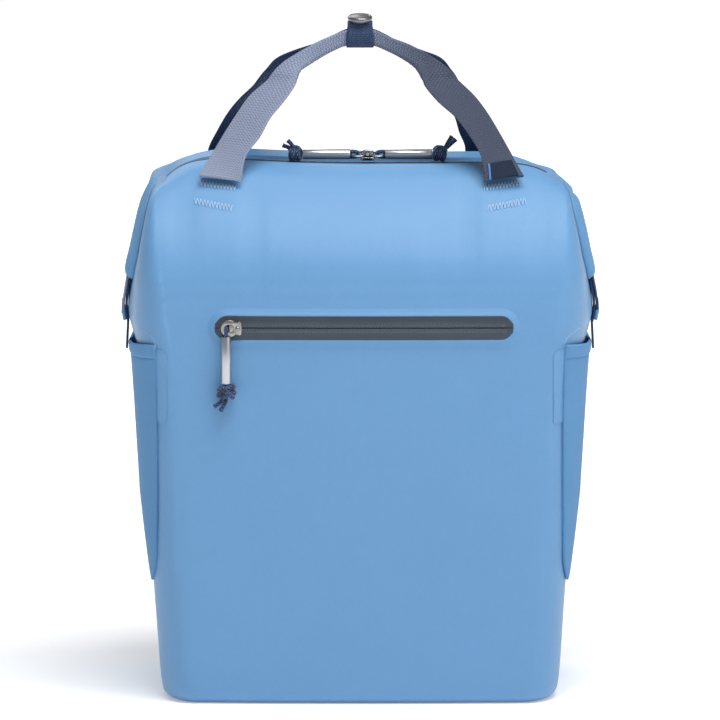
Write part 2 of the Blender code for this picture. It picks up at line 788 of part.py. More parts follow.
def pocket_sheet(heights, extra, side):
    """Rows of points on a pocket's inner face. It stands off the body towards its rim and is closed below
    and along both sides, and its lower corners are round."""
    columns = list(pocket_columns())
    rows = []
    for z in heights:
        row = []
        for place_in, index in enumerate(columns):
            across = place_in / (len(columns) - 1)
            edge = 1 - abs(2 * across - 1)
            past = 1 - min(edge / POCKET_CORNER_SHARE, 1)
            share = (z - POCKET_BOTTOM) / (POCKET_RIM - POCKET_BOTTOM)
            lift = POCKET_CORNER * (1 - math.sqrt(1 - past**2)) * (1 - share) ** 2
            middle = math.sin(math.pi * across)
            dip = POCKET_RIM_DIP * middle * share**POCKET_DIP_POWER
            level = Level(section_at(z + lift - dip))
            point, out = pocket_column(level, index)
            opened = min(share / POCKET_OPENING_SHARE, 1.0) ** POCKET_OPENING_POWER
            stand = POCKET_STAND * middle**POCKET_FULLNESS_POWER * opened
            moved = point + out * (GAP + stand + extra)
            row.append(Vector((side * moved.x, moved.y, moved.z)))
        rows.append(row)
    return rows


def make_side_pocket(side, label):
    heights = pocket_rows(POCKET_BOTTOM, POCKET_RIM - HEM_HEIGHT, POCKET_ROWS) + [POCKET_RIM]
    mesh = sheet_mesh("side_pocket_" + label, pocket_sheet(heights, 0.0, side))
    if side > 0:
        mesh.flip_normals()
    smooth(mesh, 60)
    solidify(place("side_pocket_" + label, mesh, "pocket_cloth"), POCKET_WALL)
    hem_rows = pocket_sheet([POCKET_RIM - HEM_HEIGHT, POCKET_RIM], POCKET_WALL + GAP, side)
    hem = sheet_mesh("pocket_hem_" + label, hem_rows)
    if side > 0:
        hem.flip_normals()
    smooth(hem, 60)
    solidify(place("pocket_hem_" + label, hem, "pocket_cloth"), HEM_THICKNESS)


# Folded ends of the top and their straps


def make_wing(side, label):
    """The zipped end of the top, folded down flat against the side panel."""
    inner = []
    outer = []
    for row in WING_ROWS:
        level = Level(section_at(row.height * BODY_HEIGHT))
        y0, y1 = level.side_range()
        room = min(mouth_y() - y0, y1 - mouth_y()) * row.reach
        x = level.half_width + GAP
        z = level.z - level.droop
        bulge = WING_THICKNESS * row.thickness
        places = [(mouth_y() + s * room, bulge * (1 - WING_EDGE_SHARE * s * s)) for s in WING_SHARES]
        inner.append([Vector((side * x, y, z)) for y, _ in places])
        outer.append([Vector((side * (x + rise), y, z)) for y, rise in places])
    rings = []
    for low, high in zip(inner, outer):
        ring = list(reversed(low)) + high
        rings.append(ring if side > 0 else list(reversed(ring)))
    rings.reverse()
    mesh = loft_mesh("wing_" + label, rings)
    smooth(mesh, 50)
    place("wing_" + label, mesh, "body_cloth")


def strip_between(name, path, width_axis, width, thickness, finish):
    """Flat webbing along a path, with its width along a fixed axis."""
    half = width_axis * (width / 2)
    rows = [[Vector(p) - half, Vector(p) + half] for p in path]
    strip = place(name, sheet_mesh(name, rows), finish)
    step = solidify(strip, thickness)
    step.offset = 0.0
    return strip


def make_wing_straps(side, label):
    """Two webbings that hang from the fold's tip, the short outer one snapped to the long inner one."""
    y = mouth_y()
    tip = WING_ROWS[-1].height * BODY_HEIGHT
    reach = Level(section_at(tip)).half_width + GAP + WING_THICKNESS - SIDE_STRAP_SETBACK
    length = tip - SIDE_STRAP_END
    y_axis = Vector((0, 1, 0))

    def hang(share, offset):
        flare = SIDE_STRAP_FLARE * math.sin(math.pi / 2 * share)
        return (side * (reach + flare - offset), y, tip - 2 * GAP - length * share)

    outer_share = (tip - WING_STRAP_END) / length
    outer = [hang(outer_share * i / 3, WEBBING / 2) for i in range(4)]
    strip_between("wing_strap_" + label, outer, y_axis, SIDE_WEBBING, WEBBING, "webbing_navy")
    inner = [hang(i / 6, WEBBING * 1.5 + GAP) for i in range(7)]
    strip_between("side_strap_" + label, inner, y_axis, SIDE_WEBBING, WEBBING, "webbing_navy")
    snap_share = (tip - WING_SNAP_HEIGHT) / length
    lean = math.atan(SIDE_STRAP_FLARE * math.pi / 2 * math.cos(math.pi / 2 * snap_share) / length)
    out = Vector((side * math.cos(lean), 0, math.sin(lean)))
    foot = Vector(hang(snap_share, 0)) + out * 2 * GAP
    make_snap("wing_snap_" + label, foot, out, WING_SNAP_DIAMETER, WING_SNAP_THICKNESS)


def make_snap(name, foot, out, diameter, height):
    """A turned snap cap: a low dome with a rolled edge."""
    profile = [(row.radius * diameter / 2, 0, row.height * height) for row in SNAP_PROFILE]
    mesh = bpy.data.meshes.new(name)
    mesh.from_pydata(profile, [(i, i + 1) for i in range(len(profile) - 1)], [])
    cap = place(name, mesh, "snap_metal")
    turn = cap.modifiers.new("turned", "SCREW")
    turn.steps = SNAP_SIDES
    turn.render_steps = SNAP_SIDES
    turn.use_merge_vertices = True
    turn.merge_threshold = MERGE
    turn.use_smooth_shade = True
    cap.matrix_world = Matrix.Translation(foot) @ out.to_track_quat("Z", "Y").to_matrix().to_4x4()


# Grab handles


def handle_line(tree, rows, facing):
    """Points and fold shares along a whole handle. Facing is -1 for the front and 1 for the back."""
    grip_y = mouth_y() + facing * (GRIP_THICKNESS + GRIP_GAP) / 2
    foot_z = BODY_HEIGHT - HANDLE_TUCK
    foot_x = FRONT_HANDLE_SPREAD if facing < 0 else BACK_HANDLE_SPREAD
    foot_y = surface_y(tree, foot_x, foot_z, facing)
    half = [Vector((foot_x, foot_y, foot_z))]
    folds = [0.0]
    for row in rows:
        y = grip_y + (foot_y - grip_y) * row.out
        half.append(Vector((row.along * foot_x, y, foot_z + (HANDLE_RISE + HANDLE_TUCK) * row.rise)))
        folds.append(row.fold)
    crown = Vector((0, grip_y, foot_z + (HANDLE_RISE + HANDLE_TUCK)))
    line = half + [crown] + [Vector((-p.x, p.y, p.z)) for p in reversed(half)]
    shares = folds + [1.0] + list(reversed(folds))
    return line, shares


def cross_section(point, along, facing, wide, thick, offset=0.0):
    """Four corners of webbing across its line, with its face turned out."""
    out = Vector((0, facing, 0))
    out = (out - along * out.dot(along)).normalized()
    across = along.cross(out).normalized()
    middle = point + out * offset
    corners = ((-wide, -thick), (wide, -thick), (wide, thick), (-wide, thick))
    return [middle + across * (a / 2) + out * (b / 2) for a, b in corners]


def clear_of_body(tree, ring, facing):
    """The section moved out until it lies just off the body."""
    push = 0.0
    for point in ring:
        if point.z < BODY_HEIGHT - GAP:
            push = max(push, facing * (surface_y(tree, point.x, point.z, facing) - point.y) + 2 * GAP)
    return [point + Vector((0, facing * push, 0)) for point in ring]


def make_handle(name, tree, rows, facing, finish):
    """One webbing handle from foot to foot, folded in two along its grip."""
    line, shares = handle_line(tree, rows, facing)
    rings = []
    for i, (point, fold) in enumerate(zip(line, shares)):
        along = (line[min(i + 1, len(line) - 1)] - line[max(i - 1, 0)]).normalized()
        wide = HANDLE_WEBBING + (GRIP_FOLD - HANDLE_WEBBING) * fold
        thick = WEBBING + (GRIP_THICKNESS - WEBBING) * fold
        rings.append(clear_of_body(tree, cross_section(point, along, facing, wide, thick), facing))
    mesh = outward(loft_mesh(name, rings))
    place(name, mesh, finish)
    smooth(mesh, 40)
    return rings


def make_handle_label(rings):
    """A thin bare patch sewn on the front handle's right foot."""
    foot, above = (sum((p for p in ring), Vector()) / 4 for ring in rings[:2])
    along = (above - foot).normalized()
    work = bmesh.new()
    work.from_mesh(bpy.data.meshes["handle_front"])
    webbing = BVHTree.FromBMesh(work)
    work.free()
    across = along.cross(Vector((0, -1, 0))).normalized()
    rows = []
    for v in (0.0, 0.5, 1.0):
        middle = foot + along * (LABEL_SETBACK + LABEL_LENGTH * v)
        places = [middle + across * (LABEL_WIDTH * u) for u in (-0.5, -0.25, 0.0, 0.25, 0.5)]
        rows.append([Vector((p.x, surface_y(webbing, p.x, p.z, -1) - 2 * GAP, p.z)) for p in places])
    label = sheet_mesh("handle_label", rows)
    label.flip_normals()
    solidify(place("handle_label", label, "label"), LABEL_THICKNESS)


def make_wrap():
    """The cloth wrap that holds both grips together, with its snap cap on top."""
    y = mouth_y()
    z = BODY_HEIGHT + HANDLE_RISE
    inner_y = GRIP_THICKNESS + GRIP_GAP / 2 + WRAP_PLAY
    inner_z = GRIP_FOLD / 2 + WRAP_PLAY
    corner = 2 * WRAP_PLAY
    outline = []
    for qy, qz, turn in ((1, 1, 0), (-1, 1, 90), (-1, -1, 180), (1, -1, 270)):
        for step in (0, 30, 60, 90):
            angle = math.radians(turn + step)
            cy = y + qy * (inner_y - corner) + corner * math.cos(angle)
            cz = z + qz * (inner_z - corner) + corner * math.sin(angle)
            outline.append((cy, cz))
    outline.append(outline[0])
    rows = [[Vector((s * WRAP_WIDTH / 2, cy, cz)) for s in (-1, 1)] for cy, cz in outline]
    mesh = outward(sheet_mesh("handle_wrap", rows))
    smooth(mesh, 60)
    solidify(place("handle_wrap", mesh, "webbing_front"), WRAP_WALL)
    top = z + inner_z + WRAP_WALL + GAP
    size = (WRAP_WIDTH, FLAP_LENGTH, FLAP_THICKNESS)
    middle = Vector((0, y, top + FLAP_THICKNESS / 2))
    make_box("handle_wrap_flap", size, middle, "webbing_front", FLAP_THICKNESS / 5)
    foot = Vector((0, y, top + FLAP_THICKNESS + GAP))
    make_snap("handle_snap_cap", foot, Vector((0, 0, 1)), SNAP_DIAMETER, SNAP_THICKNESS)


# Shoulder straps


def rounded_section(centre, across, out, width, thickness):
    """Eight points of a padded strap's section."""
    w, t = width / 2, thickness / 2
    cut = t * 0.7
    corners = (
        (-w + cut, -t), (w - cut, -t), (w, -t + cut), (w, t - cut),
        (w - cut, t), (-w + cut, t), (-w, t - cut), (-w, -t + cut),
    )
    return [centre + across * a + out * b for a, b in corners]


def make_shoulder_strap(tree, side, label):
    """A padded strap that bows out from the back panel between its yoke and its adjuster."""
    lift = SHOULDER_THICKNESS / 2 + 4 * GAP
    line = []
    for i in range(SHOULDER_STEPS + 1):
        t = i / SHOULDER_STEPS
        x = side * (SHOULDER_INSET + (SHOULDER_OUTSET - SHOULDER_INSET) * t)
        z = SHOULDER_TOP + (SHOULDER_END - SHOULDER_TOP) * t
        bow = SHOULDER_BOW * (1 - math.cos(2 * math.pi * t)) / 2
        line.append(Vector((x, back_at(tree, x, z) + lift + bow, z)))
    rings = []
    for i, point in enumerate(line):
        along = Vector((0, 0, -1))
        if 0 < i < SHOULDER_STEPS:
            along = (line[i + 1] - line[i - 1]).normalized()
        across = Vector((1, 0, 0))
        across = (across - along * across.dot(along)).normalized()
        out = across.cross(along).normalized()
        width = SHOULDER_WIDTH * (1 - SHOULDER_TAPER_SHARE * i / SHOULDER_STEPS)
        rings.append(rounded_section(point, across, out, width, SHOULDER_THICKNESS))
    name = "shoulder_strap_" + label
    mesh = outward(loft_mesh(name, rings))
    smooth(mesh, 60)
    place(name, mesh, "padding")
    return line[-1]


def make_box(name, size, centre, finish, edge):
    box = place(name, box_mesh(name, size, (0, 0, 0)), finish)
    box.location = centre
    bevel(box, edge, 2)
    return box


def make_yoke(tree):
    """The padded plate on the back that both shoulder straps start from."""
    low = SHOULDER_TOP + GAP
    rows = []
    for z in body_heights(low, low + YOKE_HEIGHT):
        row = []
        for share in (-1.0, -0.5, 0.0, 0.5, 1.0):
            x = share * YOKE_WIDTH / 2
            row.append(Vector((x, back_at(tree, x, z) + 2 * GAP, z)))
        rows.append(row)
    mesh = sheet_mesh("shoulder_yoke", rows)
    yoke = place("shoulder_yoke", mesh, "padding")
    solidify(yoke, YOKE_THICKNESS)
    bevel(yoke, YOKE_THICKNESS / 4, 1)


def make_adjuster(label, strap_end):
    """A plain ladder-lock frame under the padded strap."""
    centre = strap_end - Vector((0, 0, ADJUSTER_HEIGHT / 2 + GAP))
    frame = make_box(
        "strap_adjuster_" + label,
        (ADJUSTER_WIDTH, ADJUSTER_THICKNESS, ADJUSTER_HEIGHT),
        centre,
        "moulded_plastic",
        ADJUSTER_THICKNESS / 5,
    )
    opening = (ADJUSTER_HEIGHT - 3 * ADJUSTER_BAR) / 2
    for step, sign in (("upper", 1), ("lower", -1)):
        size = (LOWER_WEBBING + 6 * GAP, 3 * ADJUSTER_THICKNESS, opening)
        offset = centre + Vector((0, 0, sign * (ADJUSTER_BAR + opening) / 2))
        name = "adjuster_" + label + "_" + step
        boolean(frame, cutter(name, box_mesh(name, size, offset)), "DIFFERENCE")
    return centre


def make_lower_webbing(tree, side, label, centre):
    """Webbing that turns over the adjuster's middle bar, from its short tail down to its tab."""
    end_x = side * LOWER_TAB_X
    end_y = back_at(tree, end_x, LOWER_TAB_HEIGHT) + 1.5 * WEBBING + 4 * GAP
    off = ADJUSTER_THICKNESS / 2 + GAP + WEBBING / 2
    over = ADJUSTER_BAR / 2 + WEBBING
    half_turn = [(off, -ADJUSTER_HEIGHT), (off, ADJUSTER_BAR / 2 + GAP), (off - WEBBING / 2, over)]
    points = [centre + Vector((0, y, z)) for y, z in half_turn]
    points += [centre + Vector((0, -y, z)) for y, z in reversed(half_turn[1:])]
    points.append(centre + Vector((0, -off, -ADJUSTER_HEIGHT / 2 - WEBBING)))
    points.append(Vector((end_x, end_y, LOWER_TAB_HEIGHT)))
    name = "lower_webbing_" + label
    strip_between(name, points, Vector((1, 0, 0)), LOWER_WEBBING, WEBBING, "webbing_navy")


def make_lower_tab(tree, side, label):
    """A sewn tab on the back panel that takes the webbing's end."""
    x = side * LOWER_TAB_X
    half = LOWER_TAB_SIZE / 2
    rows = []
    for z in (LOWER_TAB_HEIGHT - half / 2, LOWER_TAB_HEIGHT + half / 2):
        xs = [x - half, x, x + half]
        y = max(back_at(tree, v, z) for v in xs)
        rows.append([Vector((v, y + 2 * GAP, z)) for v in xs])
    mesh = sheet_mesh("lower_tab_" + label, rows)
    solidify(place("lower_tab_" + label, mesh, "webbing_navy"), WEBBING)


def main():
    clear_scene()
    tree = make_body()
    top_face = make_top_zip(tree)
    pocket_face = make_pocket_zip(tree)
    make_pulls(top_face, pocket_face)
    for side, label in ((-1, "left"), (1, "right")):
        make_side_pocket(side, label)
        make_wing(side, label)
        make_wing_straps(side, label)
        strap_end = make_shoulder_strap(tree, side, label)
        centre = make_adjuster(label, strap_end)
        make_lower_webbing(tree, side, label, centre)
        make_lower_tab(tree, side, label)
    make_yoke(tree)
    front_rings = make_handle("handle_front", tree, FRONT_HANDLE, -1, "webbing_front")
    make_handle("handle_back", tree, BACK_HANDLE, 1, "webbing_navy")
    make_handle_label(front_rings)
    make_wrap()


main()
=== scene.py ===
# Looks of the cooler backpack: padded coated cloth, zips with cord pulls, folded webbing handles and straps.
# Metres, +Z up, the front faces -Y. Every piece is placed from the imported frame.

import functools
import math
import random
from collections import namedtuple

import bmesh
import bpy
import numpy as np
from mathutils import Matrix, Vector
from mathutils.bvhtree import BVHTree


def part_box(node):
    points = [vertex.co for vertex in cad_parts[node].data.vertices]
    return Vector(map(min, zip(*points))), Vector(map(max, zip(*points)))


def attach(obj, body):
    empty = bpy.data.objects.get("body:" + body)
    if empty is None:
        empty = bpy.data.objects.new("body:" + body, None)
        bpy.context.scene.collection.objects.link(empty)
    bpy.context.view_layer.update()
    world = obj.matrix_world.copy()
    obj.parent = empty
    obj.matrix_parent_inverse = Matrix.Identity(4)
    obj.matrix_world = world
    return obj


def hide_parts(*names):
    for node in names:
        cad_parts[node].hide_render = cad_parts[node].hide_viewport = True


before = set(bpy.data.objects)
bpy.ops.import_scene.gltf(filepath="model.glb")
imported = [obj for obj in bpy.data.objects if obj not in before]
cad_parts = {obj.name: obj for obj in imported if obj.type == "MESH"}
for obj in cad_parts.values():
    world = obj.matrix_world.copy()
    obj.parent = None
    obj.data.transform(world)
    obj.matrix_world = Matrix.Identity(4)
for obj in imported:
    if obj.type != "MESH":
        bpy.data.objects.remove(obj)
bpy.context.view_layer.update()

bl_info = {
    "name": "Cooler Backpack Looks",
    "version": (1, 0, 0),
    "blender": (4, 5, 0),
    "location": "View3D > Sidebar > Cooler",
    "description": "Builds a soft insulated backpack around its packed solids",
    "category": "Object",
}

ROOT = "root"
COLLECTION = "cooler_looks"
CLOTH_MAP = "cloth"
SEED = 11
MM = 0.001

# Half the thickness of the zips' coil wire
COIL_WIRE = 0.00031

# Small clearance between cloth that lies on cloth
LIE = 0.0003

BODY_LOW, BODY_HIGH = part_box("body_shell")
TOP_TAPE_LOW, TOP_TAPE_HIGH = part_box("top_zip_tape")
POCKET_TAPE_LOW, POCKET_TAPE_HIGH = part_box("pocket_zip_tape")
ZIP_Y = (TOP_TAPE_LOW.y + TOP_TAPE_HIGH.y) / 2
FRONT_CROWN = 0.003
BACK_CROWN = 0.002
HALF_WIDTH = BODY_HIGH.x
HALF_DEPTH = -BODY_LOW.y - FRONT_CROWN
HEIGHT = BODY_HIGH.z
LEAST_CORNER = 0.004

# The ridge rises less on the right than on the left
RIGHT_LIFT_SHARE = 0.15

# The shoulder pads' middle line on the back, from its top to its end, and their bow, thickness and width
PAD_TOP_X, PAD_TOP_Z = 0.048, 0.318
PAD_END_X, PAD_END_Z = 0.072, 0.120
PAD_BOW, PAD_THICK, PAD_WIDTH = 0.034, 0.010, 0.058

# Where the side straps hang free below the folded ends: how far from the middle, at the top and at the tip
STRAP_TOP_X, STRAP_TIP_X, STRAP_TOP_Z = 0.1698, 0.1724, 0.306

# Middle, height and depth of the soft swell in each side
SWELL_Z, SWELL_TALL, SWELL_DEEP = 0.280, 0.030, 0.045

# The body's sections from the base up. Height is a share of the body's height, half_width, front and back
# are shares of half its width and half its depth, corner of the corner sizes and droop of the ridge droop.
Section = namedtuple("Section", "height half_width front back corner droop")
BODY_SECTIONS = (
    Section(0.0000, 0.836, 0.905, 0.902, 0.90, 0.00),
    Section(0.0040, 0.852, 0.940, 0.935, 0.94, 0.00),
    Section(0.0110, 0.866, 0.968, 0.965, 0.97, 0.00),
    Section(0.0204, 0.874, 0.985, 0.980, 1.00, 0.00),
    Section(0.1124, 0.894, 1.000, 0.990, 1.00, 0.00),
    Section(0.2018, 0.909, 1.000, 0.990, 1.00, 0.00),
    Section(0.4355, 0.9375, 1.000, 0.990, 1.00, 0.00),
    Section(0.6692, 0.973, 1.000, 0.990, 1.00, 0.00),
    Section(0.7280, 0.992, 0.996, 0.985, 0.95, 0.00),
    Section(0.7995, 0.990, 0.972, 0.970, 0.80, 0.00),
    Section(0.8301, 0.981, 0.942, 0.950, 0.68, 0.00),
    Section(0.8685, 0.968, 0.880, 0.905, 0.52, 0.00),
    Section(0.9119, 0.948, 0.765, 0.815, 0.34, 0.00),
    Section(0.9520, 0.924, 0.610, 0.680, 0.16, 0.10),
    Section(0.9720, 0.903, 0.515, 0.580, 0.12, 0.35),
    Section(0.9860, 0.885, 0.441, 0.500, 0.10, 0.70),
    Section(0.9962, 0.872, 0.353, 0.412, 0.10, 0.95),
    Section(1.0010, 0.862, 0.275, 0.304, 0.10, 1.05),
    Section(1.0012, 0.857, 0.225, 0.180, 0.08, 1.05),
    Section(0.9985, 0.853, 0.190, 0.080, 0.06, 1.00),
)

# Soft dents and swells on the front, in metres: place, size and depth into the cloth
Dent = namedtuple("Dent", "x z wide tall depth")
FRONT_DENTS = (
    Dent(0.104, 0.366, 0.022, 0.016, -0.0011),
    Dent(-0.104, 0.366, 0.022, 0.016, -0.0011),
    Dent(0.079, 0.352, 0.009, 0.030, 0.0014),
    Dent(-0.079, 0.352, 0.009, 0.030, 0.0011),
    Dent(0.130, 0.358, 0.010, 0.026, 0.0010),
    Dent(-0.130, 0.358, 0.010, 0.026, 0.0010),
    Dent(0.062, 0.345, 0.016, 0.024, 0.0011),
    Dent(0.000, 0.313, 0.150, 0.0030, 0.00045),
    Dent(0.000, 0.302, 0.160, 0.0034, 0.00040),
    Dent(0.020, 0.330, 0.100, 0.012, -0.0007),
    Dent(-0.133, 0.125, 0.0018, 0.055, 0.00055),
    Dent(0.136, 0.125, 0.0018, 0.055, 0.00045),
    Dent(0.000, 0.170, 0.120, 0.080, -0.0012),
    Dent(-0.070, 0.240, 0.050, 0.018, 0.0006),
    Dent(0.055, 0.110, 0.060, 0.030, 0.0005),
)

# The folded end of the top, from the ridge down, in metres: half its reach and its thickness
WingRow = namedtuple("WingRow", "z reach thickness")
WING_ROWS = (
    WingRow(0.3770, 0.024, 0.0010),
    WingRow(0.3700, 0.033, 0.0022),
    WingRow(0.3570, 0.039, 0.0044),
    WingRow(0.3400, 0.036, 0.0054),
    WingRow(0.3250, 0.029, 0.0060),
    WingRow(0.3130, 0.022, 0.0062),
    WingRow(0.3045, 0.016, 0.0058),
)

# Both edges of a handle's webbing from its left foot to the grip, in millimetres, its fold from flat 0 to
# doubled 1, and how much further out the same edges lie on the right
EdgeRow = namedtuple(
    "EdgeRow", "outer_x outer_y outer_z inner_x inner_y inner_z fold right_outer right_inner"
)
FRONT_HANDLE_EDGES = (
    EdgeRow(118.2, -59.3, 387.6, 88.0, -59.9, 383.6, 0.0, 2.0, 4.2),
    EdgeRow(113.4, -47.0, 394.4, 87.0, -57.5, 392.7, 0.0, 2.0, 4.2),
    EdgeRow(107.4, -36.0, 402.7, 84.2, -53.0, 402.6, 0.0, 2.6, 5.0),
    EdgeRow(99.4, -28.0, 415.2, 74.2, -47.0, 414.9, 0.0, 3.0, 7.8),
    EdgeRow(89.6, -20.5, 429.4, 65.9, -39.5, 428.9, 0.0, 3.6, 4.8),
    EdgeRow(81.2, -16.0, 440.7, 55.8, -33.0, 440.3, 0.0, 3.0, 1.2),
    EdgeRow(69.0, -13.5, 451.4, 48.0, -25.0, 451.0, 0.0, 4.0, -0.4),
    EdgeRow(57.4, -12.5, 464.0, 44.2, -17.0, 459.9, 0.55, 3.0, -1.4),
    EdgeRow(42.6, -11.5, 473.8, 37.0, -12.5, 464.6, 0.92, 2.4, 0.6),
    EdgeRow(21.7, -10.0, 484.0, 21.0, -10.0, 474.0, 1.0, -1.5, 0.0),
    EdgeRow(10.4, -9.8, 488.4, 10.7, -9.8, 478.2, 1.0, 0.0, 0.0),
)

# Where the patch and its selvedge lie on the front handle's webbing: rows along it and columns across it
LABEL_ROWS, LABEL_COLUMNS, SELVEDGE_COLUMNS = slice(219, 230), slice(6, 41), slice(40, 43)

BACK_HANDLE_EDGES = (
    EdgeRow(114.0, 67.5, 376.5, 83.5, 67.5, 376.5, 0.0, -4.0, -4.0),
    EdgeRow(113.4, 66.0, 381.5, 83.0, 66.0, 381.5, 0.0, -4.0, -4.0),
    EdgeRow(111.3, 59.0, 392.0, 82.3, 62.0, 392.0, 0.0, -4.0, -4.0),
    EdgeRow(106.3, 50.0, 403.4, 79.5, 57.0, 402.0, 0.0, -4.0, -5.0),
    EdgeRow(96.8, 38.0, 421.2, 72.5, 50.0, 417.6, 0.0, -4.6, -3.0),
    EdgeRow(88.2, 28.0, 432.9, 63.8, 42.0, 428.7, 0.0, -4.6, -3.0),
    EdgeRow(79.1, 19.0, 442.9, 55.0, 31.0, 438.0, 0.0, -4.0, -3.0),
    EdgeRow(70.4, 8.5, 455.6, 48.4, 19.0, 449.6, 0.0, -2.4, -2.5),
    EdgeRow(59.6, 3.0, 466.4, 43.0, 8.5, 458.4, 0.45, -1.6, -2.0),
    EdgeRow(48.4, 0.5, 471.8, 38.6, 3.0, 463.0, 0.90, -3.0, -2.0),
    EdgeRow(33.4, -1.0, 477.2, 32.4, -0.5, 467.4, 1.0, -2.0, -1.0),
    EdgeRow(19.2, -2.0, 484.0, 19.2, -2.0, 474.2, 1.0, 0.0, 0.0),
    EdgeRow(10.4, -2.2, 488.0, 10.7, -2.2, 478.2, 1.0, 0.0, 0.0),
)

# Both cut tails of each pull's cord, from its knot, in metres: across it, along it and out of the cloth
CORD_TAILS = {
    "pocket": (
        ((-0.0010, -0.0030, 0.0010), (-0.0042, -0.0085, 0.0010), (-0.0088, -0.0118, 0.0006)),
        ((0.0006, -0.0030, -0.0008), (-0.0012, -0.0095, 0.0008), (-0.0042, -0.0150, 0.0006)),
    ),
    "top_left": (
        ((0.0, -0.0020, 0.0020), (0.0020, -0.0058, 0.0050), (0.0028, -0.0096, 0.0062)),
        ((0.0, -0.0020, 0.0030), (-0.0020, -0.0030, 0.0075), (-0.0026, -0.0058, 0.0106)),
    ),
    "top_right": (
        ((0.0, -0.0030, 0.0020), (0.0022, -0.0060, 0.0085), (0.0030, -0.0092, 0.0138)),
        ((0.0, -0.0030, 0.0030), (-0.0022, -0.0082, 0.0072), (-0.0030, -0.0122, 0.0108)),
    ),
}

# The strand that crosses over each knot, from the knot's middle, in metres
KNOT_STRAND = (
    (-0.0040, 0.0036, 0.0026),
    (-0.0010, 0.0012, 0.0050),
    (0.0024, -0.0020, 0.0052),
    (0.0050, -0.0046, 0.0028),
)

# The wire bridge over a top slider, in metres: along the zip and up
SLIDER_BRIDGE = ((0.0034, -0.0018), (0.0030, 0.0016), (0.0, 0.0026), (-0.0030, 0.0012), (-0.0038, -0.0020))

# The wrap round both grips: half its depth as a share of its reach, and its height from its bottom or its top
WrapPoint = namedtuple("WrapPoint", "share height from_top")
WRAP_OUTLINE = (
    WrapPoint(0.00, 0.0006, False),
    WrapPoint(0.72, 0.0009, False),
    WrapPoint(1.00, 0.0032, False),
    WrapPoint(1.02, 0.0070, False),
    WrapPoint(0.97, 0.0105, False),
    WrapPoint(0.78, 0.0134, False),
    WrapPoint(0.62, 0.0158, False),
    WrapPoint(0.60, -0.0010, True),
    WrapPoint(0.30, -0.0002, True),
    WrapPoint(0.00, 0.0000, True),
)

# A snap cap from its foot to the middle of its dish, as shares of its radius and its thickness
CAP_PROFILE = (
    (0.80, 0.00), (0.93, 0.10), (0.99, 0.32), (1.00, 0.52), (0.97, 0.72), (0.90, 0.84),
    (0.82, 0.86), (0.76, 0.80), (0.55, 0.86), (0.28, 0.92), (0.02, 0.94),
)

# Zigzag rows of thread under the handles' feet, in metres: the outer and the inner end, and the height
Tack = namedtuple("Tack", "outer_x outer_z inner_x inner_z tall")
TACK_STITCHES, TACK_THREAD = 22, 0.00042
TACKS = (Tack(0.1180, 0.3815, 0.0914, 0.3784, 0.0034), Tack(0.1222, 0.3702, 0.0940, 0.3656, 0.0040))

# The curved seam above each side pocket, as x and height in metres
SEAM_ARC = ((0.1622, 0.2785), (0.1590, 0.2770), (0.1545, 0.2745), (0.1515, 0.2710), (0.1503, 0.2650))

# Studio lights: place, what each one points at, size in metres, power in watts and colour
Light = namedtuple("Light", "name place aim size power tone")
LIGHTS = (
    Light("key", (0.35, -0.78, 2.5), (0, 0, 0.25), (1.6, 1.2), 56.0, "ffffff"),
    Light("fill_right", (1.9, -1.5, 1.3), (0, 0, 0.2), (2.0, 2.0), 10.0, "fdfeff"),
    Light("rim_back", (-0.8, 2.0, 1.6), (0, 0, 0.25), (1.6, 1.0), 12.0, "ffffff"),
)


def linear(colour):
    """Linear red, green and blue of an sRGB hex colour."""
    parts = [int(colour[i : i + 2], 16) / 255 for i in (0, 2, 4)]
    return tuple(c / 12.92 if c <= 0.04045 else ((c + 0.055) / 1.055) ** 2.4 for c in parts)


def length(name, default, description):
    return bpy.props.FloatProperty(
        name=name, description=description, default=default, min=0.0, precision=5, unit="LENGTH"
    )


def colour(name, default, description):
    return bpy.props.FloatVectorProperty(
        name=name, description=description, default=linear(default), size=3, min=0.0, max=1.0, subtype="COLOR"
    )


class CoolerBodySizes(bpy.types.PropertyGroup):
    spacing: length("Cloth Spacing", 0.0026, "Distance between the points of the body's cloth")
    corner_width: length("Corner Width", 0.024, "Reach of the upright corners along the front")
    corner_depth: length("Corner Depth", 0.042, "Reach of the upright corners along the side")
    ridge_droop: length("Ridge Droop", 0.0105, "Fall of the zip ridge at its ends")
    ridge_lift: length("Ridge Lift", 0.0035, "Rise of the zip ridge beside its left end")
    pull_in: length("Pull In", 0.0085, "How far the right back corner of the top is pulled in")
    back_drop: length("Back Drop", 0.0030, "How much further the back of the ridge falls at its ends")
    side_swell: length("Side Swell", 0.0062, "Swell of the sides between the folded ends and the pockets")
    slack: length("Slack", 0.0007, "Height of the low waves in the cloth")
    pocket_wall: length("Pocket Wall", 0.0015, "Thickness of the side pockets' cloth")
    pocket_stand: length("Pocket Stand", 0.0062, "Gap between a side pocket's rim and the body")
    pocket_hem: length("Pocket Hem", 0.010, "Height of the doubled hem along the pocket's rim")


class CoolerWebbingSizes(bpy.types.PropertyGroup):
    thickness: length("Webbing Thickness", 0.0018, "Thickness of all webbing")
    side_width: length("Side Strap Width", 0.025, "Width of the webbing on the folded ends")
    fold_gap: length("Fold Gap", 0.0024, "Distance between the two layers of a folded grip")
    wrap_width: length("Wrap Width", 0.0192, "Width of the wrap round both grips")
    snap_diameter: length("Snap Diameter", 0.0182, "Diameter of the snap cap on the wrap")


